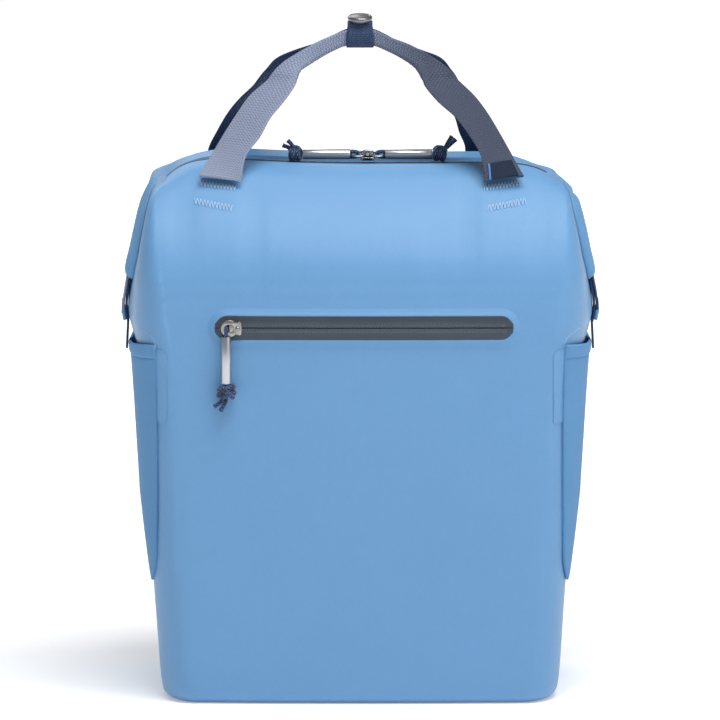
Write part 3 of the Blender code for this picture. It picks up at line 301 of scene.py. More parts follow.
class CoolerZipSizes(bpy.types.PropertyGroup):
    shift: length("Zip Shift", 0.0030, "How far the front zip lies to the right of the middle")
    tooth_pitch: length("Tooth Pitch", 0.0020, "Distance from one coil tooth to the next")
    bezel_width: length("Bezel Width", 0.0034, "Width of the raised cloth edge round the front zip")
    cord: length("Cord", 0.0031, "Diameter of the pull cords")
    loop_radius: length("Loop Radius", 0.0060, "Outer radius of the pocket slider's eye")


class CoolerColours(bpy.types.PropertyGroup):
    body: colour("Body Cloth", "5284b1", "Coated cloth of the body")
    body_light: colour("Body Thread", "6c9ecc", "Light threads of the body's weave")
    pocket: colour("Pocket Cloth", "5083b3", "Coated cloth of the side pockets")
    webbing: colour("Webbing", "2d364c", "Ground of the front handle's webbing")
    webbing_light: colour("Webbing Ribs", "8791aa", "Ribs of the front handle's webbing")
    navy: colour("Navy Webbing", "0e2040", "Ground of the back handle and the straps")
    navy_light: colour("Navy Ribs", "213a60", "Ribs of the navy webbing")
    tape: colour("Zip Tape", "28323d", "Rubber film of the zips")
    cord: colour("Cord", "1b2440", "Ground of the braided cord")
    cord_fleck: colour("Cord Fleck", "4583c4", "Tracer threads in the braided cord")
    floor: colour("Floor", "f3f3f3", "Studio paper")


class CoolerStage(bpy.types.PropertyGroup):
    distance: length("Camera Distance", 20.0, "Distance of the camera from the middle of the bag")
    view_width: length("View Width", 0.5328, "Width of the picture at the bag")
    elevation: bpy.props.FloatProperty(
        name="Elevation",
        description="Camera angle above the horizon",
        default=math.radians(9.0),
        subtype="ANGLE",
    )
    aim_height: length("Aim Height", 0.2411, "Height of the point in the middle of the picture")


# Mesh building


def ramp(value, start, reach):
    """Rises from 0 at the start to 1 at the end of its reach."""
    return np.clip((value - start) / reach, 0.0, 1.0)


def unit(vectors):
    size = np.linalg.norm(vectors, axis=-1, keepdims=True)
    return vectors / np.maximum(size, 1e-12)


def between(places, values, wanted):
    """Values at the wanted places, on a smooth curve that never overshoots its points."""
    places = np.asarray(places, float)
    values = np.asarray(values, float)
    wanted = np.asarray(wanted, float)
    step = np.diff(places)
    slope = np.diff(values, axis=0) / step[:, None]
    tangent = np.zeros_like(values)
    tangent[0] = slope[0]
    tangent[-1] = slope[-1]
    before, after = slope[:-1], slope[1:]
    weight_a = (2 * step[1:] + step[:-1])[:, None]
    weight_b = (step[1:] + 2 * step[:-1])[:, None]
    same = before * after > 0
    safe_before = np.where(same, before, 1.0)
    safe_after = np.where(same, after, 1.0)
    mean = (weight_a + weight_b) / (weight_a / safe_before + weight_b / safe_after)
    tangent[1:-1] = np.where(same, mean, 0.0)
    i = np.clip(np.searchsorted(places, wanted) - 1, 0, len(step) - 1)
    t = ((wanted - places[i]) / step[i])[:, None]
    h = step[i][:, None]
    low = values[i] * (1 + 2 * t) * (1 - t) ** 2 + tangent[i] * h * t * (1 - t) ** 2
    high = values[i + 1] * t * t * (3 - 2 * t) + tangent[i + 1] * h * t * t * (t - 1)
    return low + high


def resample(points, count):
    """Points spread evenly along a smooth curve through the given ones."""
    points = np.asarray(points, float)
    gaps = np.linalg.norm(np.diff(points, axis=0), axis=1)
    places = np.concatenate([[0.0], np.cumsum(gaps)])
    return between(places, points, np.linspace(0.0, places[-1], count))


class Form:
    """Points, faces and cloth coordinates that grow into one mesh."""

    def __init__(self):
        self.points = []
        self.faces = []
        self.coordinates = []
        self.count = 0

    def add_points(self, points):
        first = self.count
        self.points.append(np.asarray(points, float).reshape(-1, 3))
        self.count += len(self.points[-1])
        return first

    def shell(self, rings, caps=True, wrap=True, centre=0.0):
        """A surface through rings of points. Its cloth coordinates are real distances along it."""
        rings = np.asarray(rings, float)
        rows, columns = rings.shape[:2]
        first = self.add_points(rings)
        closed = np.concatenate([rings, rings[:, :1]], axis=1)
        across = np.linalg.norm(np.diff(closed, axis=1), axis=2)
        u = np.concatenate([np.zeros((rows, 1)), np.cumsum(across, axis=1)], axis=1)
        u -= u[:, -1:] * centre
        along = np.linalg.norm(np.diff(rings, axis=0), axis=2).mean(axis=1)
        v = np.concatenate([[0.0], np.cumsum(along)])
        r, c = np.meshgrid(np.arange(rows - 1), np.arange(columns if wrap else columns - 1), indexing="ij")
        r, c = r.ravel(), c.ravel()
        after = (c + 1) % columns
        corners = (r * columns + c, r * columns + after, (r + 1) * columns + after, (r + 1) * columns + c)
        self.faces += (np.stack(corners, axis=1) + first).tolist()
        places = ((u[r, c], v[r]), (u[r, c + 1], v[r]), (u[r + 1, c + 1], v[r + 1]), (u[r + 1, c], v[r + 1]))
        self.coordinates.append(np.stack([np.stack(p, axis=1) for p in places], axis=1).reshape(-1, 2))
        if caps and wrap:
            ends = (np.arange(columns)[::-1] + first, np.arange(columns) + first + (rows - 1) * columns)
            for end in ends:
                self.faces.append(end.tolist())
                self.coordinates.append(np.zeros((columns, 2)))

    def tube(self, line, radius, sides=10, closed=False, caps=True):
        """A round wire along a line of points. The radius may change from point to point."""
        line = np.asarray(line, float)
        count = len(line)
        radius = np.broadcast_to(np.asarray(radius, float), (count,))
        if closed:
            along = unit(np.roll(line, -1, axis=0) - np.roll(line, 1, axis=0))
        else:
            along = unit(np.gradient(line, axis=0))
        start = np.array([0.0, 0.0, 1.0]) if abs(along[0][2]) < 0.9 else np.array([1.0, 0.0, 0.0])
        side = unit(np.cross(along[0], start))
        rings = []
        for i in range(count):
            side = unit(side - along[i] * np.dot(side, along[i]))
            up = np.cross(along[i], side)
            turn = np.linspace(0, 2 * math.pi, sides, endpoint=False)[:, None]
            rings.append(line[i] + radius[i] * (np.cos(turn) * side + np.sin(turn) * up))
        if closed:
            rings.append(rings[0])
        self.shell(rings, caps=caps and not closed)

    def blob(self, centre, axes, radii, rows=6, sides=8):
        """A rounded lump with its three axes as rows of a matrix."""
        centre, axes = np.asarray(centre, float), np.asarray(axes, float)
        rings = []
        for turn in np.linspace(0.06, math.pi - 0.06, rows):
            around = np.linspace(0, 2 * math.pi, sides, endpoint=False)[:, None]
            local = np.concatenate(
                [
                    np.cos(around) * math.sin(turn) * radii[0],
                    np.sin(around) * math.sin(turn) * radii[1],
                    np.full_like(around, math.cos(turn) * radii[2]),
                ],
                axis=1,
            )
            rings.append(centre + local @ axes)
        self.shell(rings)

    def turned(self, profile, origin, axis, sides=40):
        """A profile of (radius, height) pairs turned round an axis."""
        axis = unit(np.asarray(axis, float))
        other = np.array([1.0, 0.0, 0.0]) if abs(axis[0]) < 0.9 else np.array([0.0, 1.0, 0.0])
        right = unit(np.cross(axis, other))
        up = np.cross(axis, right)
        turn = np.linspace(0, 2 * math.pi, sides, endpoint=False)[:, None]
        around = np.cos(turn) * right + np.sin(turn) * up
        self.shell([np.asarray(origin) + radius * around + height * axis for radius, height in profile])

    def band(self, lines, thickness):
        """Webbing whose section at each row is a line of points, thickened to both sides with round edges."""
        lines = np.asarray(lines, float)
        along = np.gradient(lines, axis=0)
        across = np.gradient(lines, axis=1)
        out = unit(np.cross(across, along))
        edge = unit(across) * thickness * 0.4
        half = out * thickness / 2
        first = lines[:, :1] - edge[:, :1]
        last = lines[:, -1:] + edge[:, -1:]
        self.shell(np.concatenate([first, lines + half, last, (lines - half)[:, ::-1]], axis=1))

    def stitch(self, start, end, out, radius):
        """One stitch of thread that stands in a low arch between two needle holes."""
        start, end, out = (np.asarray(p, float) for p in (start, end, out))
        places = (0.0, 0.25, 0.5, 0.75, 1.0)
        rises = (-0.4, 0.75, 1.0, 0.75, -0.4)
        line = [start + (end - start) * t + out * radius * rise for t, rise in zip(places, rises)]
        self.tube(line, radius, sides=6)

    def mesh(self, name, smooth_angle=50):
        mesh = bpy.data.meshes.new(name)
        mesh.from_pydata(np.concatenate(self.points).tolist(), [], self.faces)
        layer = mesh.uv_layers.new(name=CLOTH_MAP)
        layer.data.foreach_set("uv", np.concatenate(self.coordinates).astype(np.float32).ravel())
        work = bmesh.new()
        work.from_mesh(mesh)
        bmesh.ops.recalc_face_normals(work, faces=work.faces)
        work.to_mesh(mesh)
        work.free()
        mesh.shade_smooth()
        mesh.set_sharp_from_angle(angle=math.radians(smooth_angle))
        mesh.validate()
        return mesh

    def show(self, name, finish, slot, *nodes, smooth_angle=50):
        """The form as one visible piece."""
        return piece(name, self.mesh(name, smooth_angle), finish, slot, *nodes)


def piece(name, mesh, finish, slot, *nodes):
    """One visible piece that rides on the bag and stands for the named solids."""
    made = bpy.data.objects.new(name, mesh)
    found = bpy.data.collections.get(COLLECTION)
    if not found:
        found = bpy.data.collections.new(COLLECTION)
        bpy.context.scene.collection.children.link(found)
    found.objects.link(made)
    mesh.materials.clear()
    mesh.materials.append(finish)
    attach(made, ROOT)
    if nodes:
        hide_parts(*nodes)
    return made


def rounded_block(name, size, centre, edge, segments=3):
    """A block with rounded edges."""
    work = bmesh.new()
    bmesh.ops.create_cube(work, size=1.0)
    bmesh.ops.scale(work, vec=size, verts=work.verts)
    bmesh.ops.bevel(work, geom=work.edges, offset=edge, segments=segments, affect="EDGES", profile=0.5)
    bmesh.ops.translate(work, vec=centre, verts=work.verts)
    mesh = bpy.data.meshes.new(name)
    work.to_mesh(mesh)
    work.free()
    mesh.uv_layers.new(name=CLOTH_MAP)
    mesh.shade_smooth()
    mesh.set_sharp_from_angle(angle=math.radians(40))
    return mesh


# Finishes


def feed(tree, socket, value):
    """Sets an input to a value, or links it to the output of another node."""
    if isinstance(value, bpy.types.NodeSocket):
        tree.links.new(value, socket)
    else:
        socket.default_value = value


def add(tree, kind, *values, inputs=None, **settings):
    """Adds one shader node with its settings and links, and gives its outputs."""
    made = tree.nodes.new("ShaderNode" + kind)
    for name, value in settings.items():
        setattr(made, name, value)
    for name, value in {**dict(enumerate(values)), **(inputs or {})}.items():
        feed(tree, made.inputs[name], value)
    return made.outputs


def as_material(fill):
    """Turns a function that fills a shader into one that gives its material, made once for each name."""

    @functools.wraps(fill)
    def material(name, *values, **settings):
        made = bpy.data.materials.get(name)
        if not made:
            made = bpy.data.materials.new(name)
            made.use_nodes = True
            fill(made.node_tree, made.node_tree.nodes["Principled BSDF"], *values, **settings)
        return made

    return material


def dress(tree, shader, share, dark, light, relief=None, **values):
    """Gives the shader a colour that runs from dark to light with a pattern, and a relief of height, depth
    and strength. Each further value or pattern goes to the shader's socket of that name."""
    shade = add(tree, "Mix", inputs={0: share, 6: (*dark, 1.0), 7: (*light, 1.0)}, data_type="RGBA")[2]
    feed(tree, shader.inputs["Base Color"], shade)
    if relief:
        height, depth, strength = relief
        bump = add(tree, "Bump", inputs={"Height": height, "Distance": depth, "Strength": strength})[0]
        feed(tree, shader.inputs["Normal"], bump)
    for name, value in values.items():
        feed(tree, shader.inputs[name.replace("_", " ")], value)


def scaled(tone, factor, lift=0.0):
    """A colour made darker or lighter."""
    return tuple(min(c * factor + lift, 1.0) for c in tone)


def cloth_axes(tree, step_u, step_v):
    """The cloth's own two directions, counted in steps of a pattern."""
    parts = add(tree, "SeparateXYZ", add(tree, "UVMap", uv_map=CLOTH_MAP)[0])
    steps = (step_u, step_v)
    return [add(tree, "Math", part, 1 / step, operation="MULTIPLY")[0] for part, step in zip(parts, steps)]


def wave(tree, place):
    """A smooth wave from 0.5 to 1.5, with one turn for each whole step of the place."""
    angle = add(tree, "Math", place, 2 * math.pi, operation="MULTIPLY")[0]
    sine = add(tree, "Math", angle, operation="SINE")[0]
    return add(tree, "Math", sine, 0.5, 1.0, operation="MULTIPLY_ADD")[0]


def diagonals(tree, u, v):
    """Two sets of slanting waves that cross each other."""
    return [wave(tree, add(tree, "Math", u, v, operation=way)[0]) for way in ("ADD", "SUBTRACT")]


def crossed(tree, first, second):
    """Two patterns laid over each other, strong where both are."""
    return add(tree, "Math", first, second, operation="MULTIPLY")[0]


def layered(tree, *layers, base=0.0):
    """Patterns added up, each at its own strength, on a base."""
    total = base
    for pattern, strength in layers:
        total = add(tree, "Math", crossed(tree, pattern, strength), total, operation="ADD")[0]
    return total


def grain(tree, scale, detail, place=None):
    """Irregular grain that is fixed to the piece, unless it gets a place of its own."""
    if place is None:
        place = add(tree, "TexCoord")["Object"]
    return add(tree, "TexNoise", inputs={"Vector": place, "Scale": scale, "Detail": detail})[0]


@as_material
def coated_polyester(tree, shader, ground, thread, shine=0.40, dullness=0.52):
    """TPU-coated polyester: a tight diagonal twill under a thin film, which gives a soft, slightly silky
    shine. Threads are 0.5 mm apart in the real cloth and drawn at 1.6 mm, as coarse as they need to show."""
    weave = crossed(tree, *diagonals(tree, *cloth_axes(tree, 1.6 * MM, 1.6 * MM)))
    speck = grain(tree, 1400.0, 1.0)
    patch = grain(tree, 14.0, 3.0)
    share = layered(tree, (weave, 0.50), (speck, 0.34), (patch, 0.22))
    rough = layered(tree, (weave, -0.10), base=dullness)
    relief = (layered(tree, (speck, 0.35), base=weave), 0.12 * MM, 0.55)
    dress(tree, shader, share, ground, thread, relief, Roughness=rough, Specular_IOR_Level=shine)


@as_material
def nylon_webbing(tree, shader, ground, rib, rib_pitch=1.5 * MM, contrast=0.9, fade=0.0):
    """Nylon webbing: ribs across its width, broken into short floats by the binding threads. Its colour is
    lighter on each rib and darker between them, in slow patches: partly the weave's own threads, partly
    painted sheen.
    Ribs are about 1 mm apart and drawn a little coarser. One with a painted sheen is painted paler on the
    left."""
    u, v = cloth_axes(tree, 3.2 * MM, rib_pitch)
    ribs = wave(tree, layered(tree, (wave(tree, u), 0.45), base=v))
    floats = wave(tree, crossed(tree, u, 2.0))
    weave = crossed(tree, ribs, layered(tree, (floats, 0.45), base=0.55))
    # Ribs in slow patches: the weave's own threads with painted sheen on them
    patchy = crossed(tree, weave, layered(tree, (grain(tree, 40.0, 3.0), 0.6), base=0.5))
    share = layered(tree, (patchy, contrast), (grain(tree, 1700.0, 1.0), 0.18))
    # Painted sheen: by the piece's own X, the pattern is full left of the middle and weaker on the right, so
    # the webbing is painted paler on the left and darker on the right
    if fade:
        place = add(tree, "SeparateXYZ", add(tree, "TexCoord")["Object"])[0]
        share = crossed(tree, share, add(tree, "MapRange", place, -0.05, 0.05, 1.0, 1.0 - fade)[0])
    relief = (weave, 0.35 * MM, 0.8)
    shine = {"Sheen_Weight": 0.20, "Sheen_Roughness": 0.35, "Specular_IOR_Level": 0.4}
    dress(tree, shader, share, ground, rib, relief, Roughness=0.58, **shine)


@as_material
def ribbed_nylon(tree, shader, ground, rib):
    """Nylon webbing for solids that have no cloth coordinates: ribs 1.5 mm apart, counted by their height."""
    height = add(tree, "SeparateXYZ", add(tree, "TexCoord")["Object"])[2]
    ribs = wave(tree, crossed(tree, height, 1 / (1.5 * MM)))
    share = crossed(tree, ribs, 0.7)
    dress(tree, shader, share, ground, rib, (ribs, 0.3 * MM, 0.7), Roughness=0.6, Sheen_Weight=0.3)


@as_material
def zip_rubber(tree, shader, tone):
    """Polyester tape under a dull rubber film: dark, with a broad soft shine and a faint print of threads."""
    u, v = cloth_axes(tree, 0.9 * MM, 0.9 * MM)
    threads = crossed(tree, wave(tree, u), wave(tree, v))
    worn = grain(tree, 60.0, 4.0)
    share = layered(tree, (threads, 0.3), (worn, 0.4))
    rough = layered(tree, (worn, 0.2), base=0.34)
    dress(tree, shader, share, tone, scaled(tone, 1.6, 0.01), (threads, 0.08 * MM, 0.5), Roughness=rough)


@as_material
def plated_metal(tree, shader, tone, roughness, scratch=0.1):
    """Die-cast zinc with satin nickel plate: a warm grey mirror, dulled by fine tumbling marks, and darkened
    in slow clouds that are a painted reflection of dark surroundings.
    """
    marks = grain(tree, 900.0, 3.0)
    # Painted reflection: slow clouds that darken the plate's colour, standing in for dark surroundings
    # mirrored in it
    painted_reflection_clouds = grain(tree, 120.0, 2.0)
    rough = layered(tree, (marks, scratch), base=roughness)
    relief = (marks, 0.02 * MM, 0.4)
    dress(tree, shader, painted_reflection_clouds, scaled(tone, 0.72), tone, relief, Roughness=rough, Metallic=1.0)


@as_material
def anodised_aluminium(tree, shader, tone):
    """Clear anodised aluminium tube: pale, with long drawing lines that stretch its highlights."""
    place = add(tree, "CombineXYZ", *cloth_axes(tree, 0.25 * MM, 12.0 * MM))[0]
    lines = grain(tree, 1.0, 2.0, place)
    rough = layered(tree, (lines, 0.16), base=0.22)
    relief = (lines, 0.02 * MM, 0.3)
    dress(tree, shader, lines, scaled(tone, 0.8), tone, relief, Roughness=rough, Metallic=1.0)


@as_material
def braided_cord(tree, shader, ground, fleck):
    """Braided polyester cord: dark diamonds of yarn with bright tracer threads that run aslant round it."""
    right, left = diagonals(tree, *cloth_axes(tree, 2.3 * MM, 2.6 * MM))
    yarn = add(tree, "Math", right, left, operation="MAXIMUM")[0]
    under = add(tree, "Math", 1.0, left, operation="SUBTRACT")[0]
    tracer = add(tree, "Math", crossed(tree, right, under), 0.34, operation="GREATER_THAN")[0]
    some = add(tree, "Math", grain(tree, 210.0, 1.0), 0.44, operation="GREATER_THAN")[0]
    share = crossed(tree, crossed(tree, tracer, some), 0.92)
    shine = {"Sheen_Weight": 0.3, "Specular_IOR_Level": 0.35}
    dress(tree, shader, share, ground, fleck, (yarn, 0.3 * MM, 0.8), Roughness=0.7, **shine)


@as_material
def sewing_thread(tree, shader, tone):
    """Bonded polyester thread: smooth, a little shiny, lighter than the cloth that it lies on."""
    twist = grain(tree, 1500.0, 1.0)
    dress(tree, shader, twist, scaled(tone, 0.7), tone, Roughness=0.5, Sheen_Weight=0.2)


@as_material
def spacer_mesh(tree, shader, tone):
    """Polyester spacer mesh over foam: matt, dark, with a grid of small round holes about 2 mm apart."""
    u, v = cloth_axes(tree, 2.4 * MM, 2.4 * MM)
    holes = crossed(tree, wave(tree, u), wave(tree, v))
    share = layered(tree, (holes, 0.7), (grain(tree, 1500.0, 1.0), 0.2))
    relief = (holes, 0.5 * MM, 0.8)
    dress(tree, shader, share, tone, scaled(tone, 2.2, 0.012), relief, Roughness=0.82, Sheen_Weight=0.25)


@as_material
def acetal(tree, shader, tone):
    """Moulded acetal: satin plastic with a fine spark-eroded grain."""
    texture = grain(tree, 1200.0, 2.0)
    relief = (texture, 0.04 * MM, 0.5)
    dress(tree, shader, texture, tone, scaled(tone, 1.5, 0.004), relief, Roughness=0.42, IOR=1.48)


@as_material
def paper(tree, shader, tone):
    """Seamless studio paper: even, pale and matt, lit evenly from below towards its far end."""
    fibres = grain(tree, 8.0, 2.0)
    away = add(tree, "VectorMath", add(tree, "TexCoord")["Object"], operation="LENGTH")["Value"]
    glow = add(tree, "MapRange", away, 0.22, 1.9, 0.30, 0.74, interpolation_type="SMOOTHSTEP")[0]
    lit = {"Emission_Strength": glow, "Emission_Color": (*tone, 1.0)}
    dress(tree, shader, fibres, scaled(tone, 0.985), tone, Roughness=0.9, Specular_IOR_Level=0.1, **lit)


def colours():
    return bpy.context.scene.cooler_colours


def body_cloth():
    return coated_polyester("coated_polyester", colours().body, colours().body_light)


def pocket_cloth():
    lit = scaled(colours().body_light, 0.94)
    return coated_polyester("coated_polyester_pocket", colours().pocket, lit, 0.10, 0.80)


def folded_cloth():
    return coated_polyester("coated_polyester_folded", colours().body, colours().body_light, 0.12, 0.75)


def patch_cloth():
    return coated_polyester("coated_patch", linear("161d2c"), linear("263044"), 0.10, 0.80)


def front_webbing():
    tones = (colours().webbing, colours().webbing_light)
    # The front webbing gets a painted sheen: paler on the left, darker on the right
    return nylon_webbing("nylon_webbing_grey", *tones, rib_pitch=2.2 * MM, contrast=1.5, fade=0.95)


def navy_webbing():
    return nylon_webbing("nylon_webbing_navy", colours().navy, colours().navy_light, contrast=0.7)


def plain_navy_webbing():
    return ribbed_nylon("nylon_webbing_plain", colours().navy, colours().navy_light)


def tape_rubber():
    return zip_rubber("zip_rubber", colours().tape)


def coil_rubber():
    return zip_rubber("zip_coil", linear("46535f"))


def nickel():
    return plated_metal("satin_nickel", linear("aaa7a3"), 0.16, 0.22)


def gunmetal():
    return plated_metal("gunmetal_plate", linear("8f8e90"), 0.30)


def aluminium():
    return anodised_aluminium("anodised_aluminium", linear("c6c9cd"))


def cord_finish():
    return braided_cord("braided_cord", colours().cord, colours().cord_fleck)


# The body's cloth


def body_table():
    """The sections in metres: z, half width, front, back, corner width, corner depth, droop."""
    body = bpy.context.scene.cooler_body
    rows = []
    for s in BODY_SECTIONS:
        front = s.front * HALF_DEPTH
        back = s.back * HALF_DEPTH
        corner_x = max(s.corner * body.corner_width, LEAST_CORNER)
        corner_y = min(max(s.corner * body.corner_depth, LEAST_CORNER), 0.4 * (front + back))
        droop = s.droop * body.ridge_droop
        rows.append((s.height * HEIGHT, s.half_width * HALF_WIDTH, -front, back, corner_x, corner_y, droop))
    return np.array(rows)


def fine_levels(spacing):
    """Smooth sections a set distance apart along the body's profile."""
    table = body_table()
    steps = np.hypot(np.diff(table[:, 0]), np.diff(table[:, 2]))
    places = np.concatenate([[0.0], np.cumsum(np.maximum(steps, 1e-5))])
    count = int(places[-1] / spacing) + 1
    return between(places, table, np.linspace(0.0, places[-1], count))


def level_at(z):
    """One smooth section at a height below the ridge."""
    table = body_table()
    rising = table[: int(np.argmax(table[:, 0])) + 1]
    return between(rising[:, 0], rising, [z])[0]


def ring_of(levels, spacing):
    """Points round each level, anticlockwise seen from above, from the middle of the back."""
    z, hw, front, back, cx, cy, droop = (levels[:, i : i + 1] for i in range(7))
    y0, y1 = front + cy, back - cy
    middle, reach = (y0 + y1) / 2, (y1 - y0) / 2
    straight = hw - cx
    face = np.linspace(0.0, 1.0, int(HALF_WIDTH / spacing))[None, :]
    side = np.linspace(-1.0, 1.0, int(HALF_DEPTH * 1.2 / spacing))[None, 1:-1]
    turn = np.radians(np.linspace(0.0, 90.0, 18))[None, 1:]
    cosine, sine = np.cos(turn), np.sin(turn)
    xs, ys = [], []

    def keep(x, y):
        xs.append(x + 0 * z)
        ys.append(y + 0 * z)

    keep(-face * straight, back + BACK_CROWN * (1 - face**2))
    keep(-(straight + cx * sine), back - cy * (1 - cosine))
    keep(-hw + 0 * side, middle - side * reach)
    keep(-(straight + cx * cosine), front + cy * (1 - sine))
    keep(-(1 - face) * straight, front - FRONT_CROWN * (1 - (1 - face) ** 2))
    keep(face[:, 1:] * straight, front - FRONT_CROWN * (1 - face[:, 1:] ** 2))
    keep(straight + cx * sine, front + cy * (1 - cosine))
    keep(hw + 0 * side, middle + side * reach)
    keep(straight + cx * cosine, back - cy * (1 - sine))
    keep((1 - face[:, :-1]) * straight, back + BACK_CROWN * (1 - (1 - face[:, :-1]) ** 2))
    x = np.concatenate(xs, axis=1)
    y = np.concatenate(ys, axis=1)
    fall, pull = ridge_moves(x, y, z, hw, droop)
    return np.stack([x - pull, y, z - fall], axis=2)


def ridge_moves(x, y, z, half_width, droop):
    """How far the ridge falls towards its ends, and how far its right back corner is pulled in."""
    body = bpy.context.scene.cooler_body
    share = np.minimum(np.abs(x) / half_width, 1.0)
    near_ridge = droop / body.ridge_droop
    lift = body.ridge_lift * near_ridge * np.where(x < 0, 1.0, RIGHT_LIFT_SHARE)
    fall = droop * share**10 - lift * 2.1 * share**2 * (1 - share**6)
    fall += body.back_drop * near_ridge * ramp(y, ZIP_Y, 0.020) * ramp(np.abs(x), 0.095, 0.030)
    high = ramp(z, 0.360, 0.012) * ramp(y, ZIP_Y - 0.012, 0.024)
    return fall, body.pull_in * high * ramp(x, 0.085, 0.050) ** 2


def grid_normals(rings):
    around = np.roll(rings, -1, axis=1) - np.roll(rings, 1, axis=1)
    up = np.gradient(rings, axis=0)
    return unit(np.cross(around, up))


def low_waves(points, seed):
    """Slow swells of slack cloth, from -1 to 1."""
    rng = random.Random(seed)
    total = np.zeros(points.shape[:2])
    for scale, weight in ((14, 0.45), (23, 0.3), (41, 0.25)):
        for _ in range(3):
            direction = np.array([rng.uniform(-1, 1) for _ in range(3)])
            direction = unit(direction) * scale * rng.uniform(0.8, 1.3)
            total += weight / 3 * np.sin(points @ direction * math.pi + rng.uniform(0, 6.28))
    return total


def dented(rings):
    """The body's cloth with its soft dents, the edges of its boards and low waves."""
    out = grid_normals(rings)
    x, y, z = rings[..., 0], rings[..., 1], rings[..., 2]
    depth = np.zeros_like(x)
    facing = np.clip(-out[..., 1], 0.0, 1.0)
    for d in FRONT_DENTS:
        depth += facing * d.depth * np.exp(-(((x - d.x) / d.wide) ** 4) - ((z - d.z) / d.tall) ** 2)
    body = bpy.context.scene.cooler_body
    from_swell = ((z - SWELL_Z) / SWELL_TALL) ** 2 + ((y - ZIP_Y) / SWELL_DEEP) ** 2
    depth -= body.side_swell * np.abs(out[..., 0]) * np.exp(-from_swell)
    loose = ramp(z, 0.012, 0.05) * ramp(HEIGHT - z, 0.004, 0.03)
    depth -= body.slack * loose * low_waves(rings, SEED)
    return rings - out * depth[..., None]


class Skin:
    """The body's finished cloth, and where things lie on it."""

    tree = None

    @classmethod
    def set(cls, mesh):
        work = bmesh.new()
        work.from_mesh(mesh)
        cls.tree = BVHTree.FromBMesh(work)
        work.free()

    @classmethod
    def cast(cls, origin, direction):
        point, normal, _, _ = cls.tree.ray_cast(Vector(origin), Vector(direction))
        if point is None:
            raise RuntimeError("no cloth there")
        return np.array(point), np.array(normal)

    @classmethod
    def front(cls, x, z):
        return cls.cast((x, -1.0, z), (0, 1, 0))

    @classmethod
    def back(cls, x, z):
        return cls.cast((x, 1.0, z), (0, -1, 0))

    @classmethod
    def side(cls, sign, y, z):
        return cls.cast((sign, y, z), (-sign, 0, 0))


class COOLER_OT_body(bpy.types.Operator):
    """Build the padded body's cloth with its rolled ridge, dents and board lines"""

    bl_idname = "cooler.body"
    bl_label = "Padded Body"

    def execute(self, context):
        spacing = context.scene.cooler_body.spacing
        rings = dented(ring_of(fine_levels(spacing), spacing))
        base = rings[0]
        middle = np.array([0.0, base[:, 1].mean(), 0.0])
        shrunk = [middle + (base - middle) * share for share in (0.1, 0.5, 0.85, 0.97)]
        for ring in shrunk:
            ring[:, 2] = 0.0
        trough = rings[-1].copy()
        centre_y = (trough[:, 1].min() + trough[:, 1].max()) / 2
        sunk = []
        for share, drop in ((0.97, 0.0026), (0.7, 0.0036), (0.02, 0.0038)):
            ring = trough.copy()
            ring[:, 1] = centre_y + (ring[:, 1] - centre_y) * share
            ring[:, 2] -= drop
            sunk.append(ring)
        form = Form()
        form.shell(np.concatenate([shrunk, rings, sunk]), centre=0.5)
        mesh = form.mesh("body_cloth", 60)
        Skin.set(mesh)
        body = piece("body_cloth", mesh, body_cloth(), "body_cloth", "body_shell")
        return {"FINISHED"}


class COOLER_OT_wings(bpy.types.Operator):
    """Build the zipped ends of the top, folded down flat on the sides"""

    bl_idname = "cooler.wings"
    bl_label = "Folded Ends"

    def execute(self, context):
        rows = np.array([tuple(r) for r in WING_ROWS])[::-1]
        foot = rows[0, 0]
        rounded = foot + np.array([0.0, 0.0006, 0.0018, 0.0036])
        heights = np.concatenate([rounded, np.linspace(0.3100, 0.3770, 34)])
        fine = between(rows[:, 0], rows, heights)
        round_end = 0.006
        for sign, label in ((-1, "left"), (1, "right")):
            rings = []
            for z, reach, thickness in fine:
                past = np.clip((foot + round_end - z) / round_end, 0.0, 0.97)
                end = math.sqrt(1 - past**2)
                half = reach * (0.72 + 0.28 * end)
                rise = thickness * end
                shares = np.sin(np.linspace(-math.pi / 2, math.pi / 2, 29))
                y = ZIP_Y + shares * half
                base = np.array([Skin.side(sign, v, z)[0][0] for v in y]) + sign * LIE
                crown = (1 - np.abs(shares) ** 3.2) ** (1 / 2.2)
                crease = 1 - 0.16 * np.exp(-((shares / 0.12) ** 2))
                outer = base + sign * rise * crown * crease
                outer_line = np.stack([outer, y, np.full_like(y, z)], axis=1)
                inner_line = np.stack([base, y, np.full_like(y, z)], axis=1)[::-1][1:-1]
                rings.append(np.concatenate([outer_line, inner_line]))
            form = Form()
            form.shell(rings)
            name, node = "wing_cloth_" + label, "wing_" + label
            wing = form.show(name, folded_cloth(), "body_cloth", node, smooth_angle=60)
        return {"FINISHED"}


def side_path(z, front_turn, back_turn, count):
    """Points and outward directions from the front corner round the right side to the back corner."""
    _, hw, front, back, cx, cy, _ = level_at(z)
    points = []
    for turn in np.radians(np.linspace(front_turn, 0.0, 14)):
        points.append((hw - cx * (1 - math.cos(turn)), front + cy * (1 - math.sin(turn)), z))
    for y in np.linspace(front + cy, back - cy, 16)[1:-1]:
        points.append((hw, y, z))
    for turn in np.radians(np.linspace(0.0, back_turn, 14)):
        points.append((hw - cx * (1 - math.cos(turn)), back - cy * (1 - math.sin(turn)), z))
    path = resample(points, count)
    along = np.gradient(path, axis=0)
    out = unit(np.stack([along[:, 1], -along[:, 0], 0 * along[:, 0]], axis=1))
    return path, out


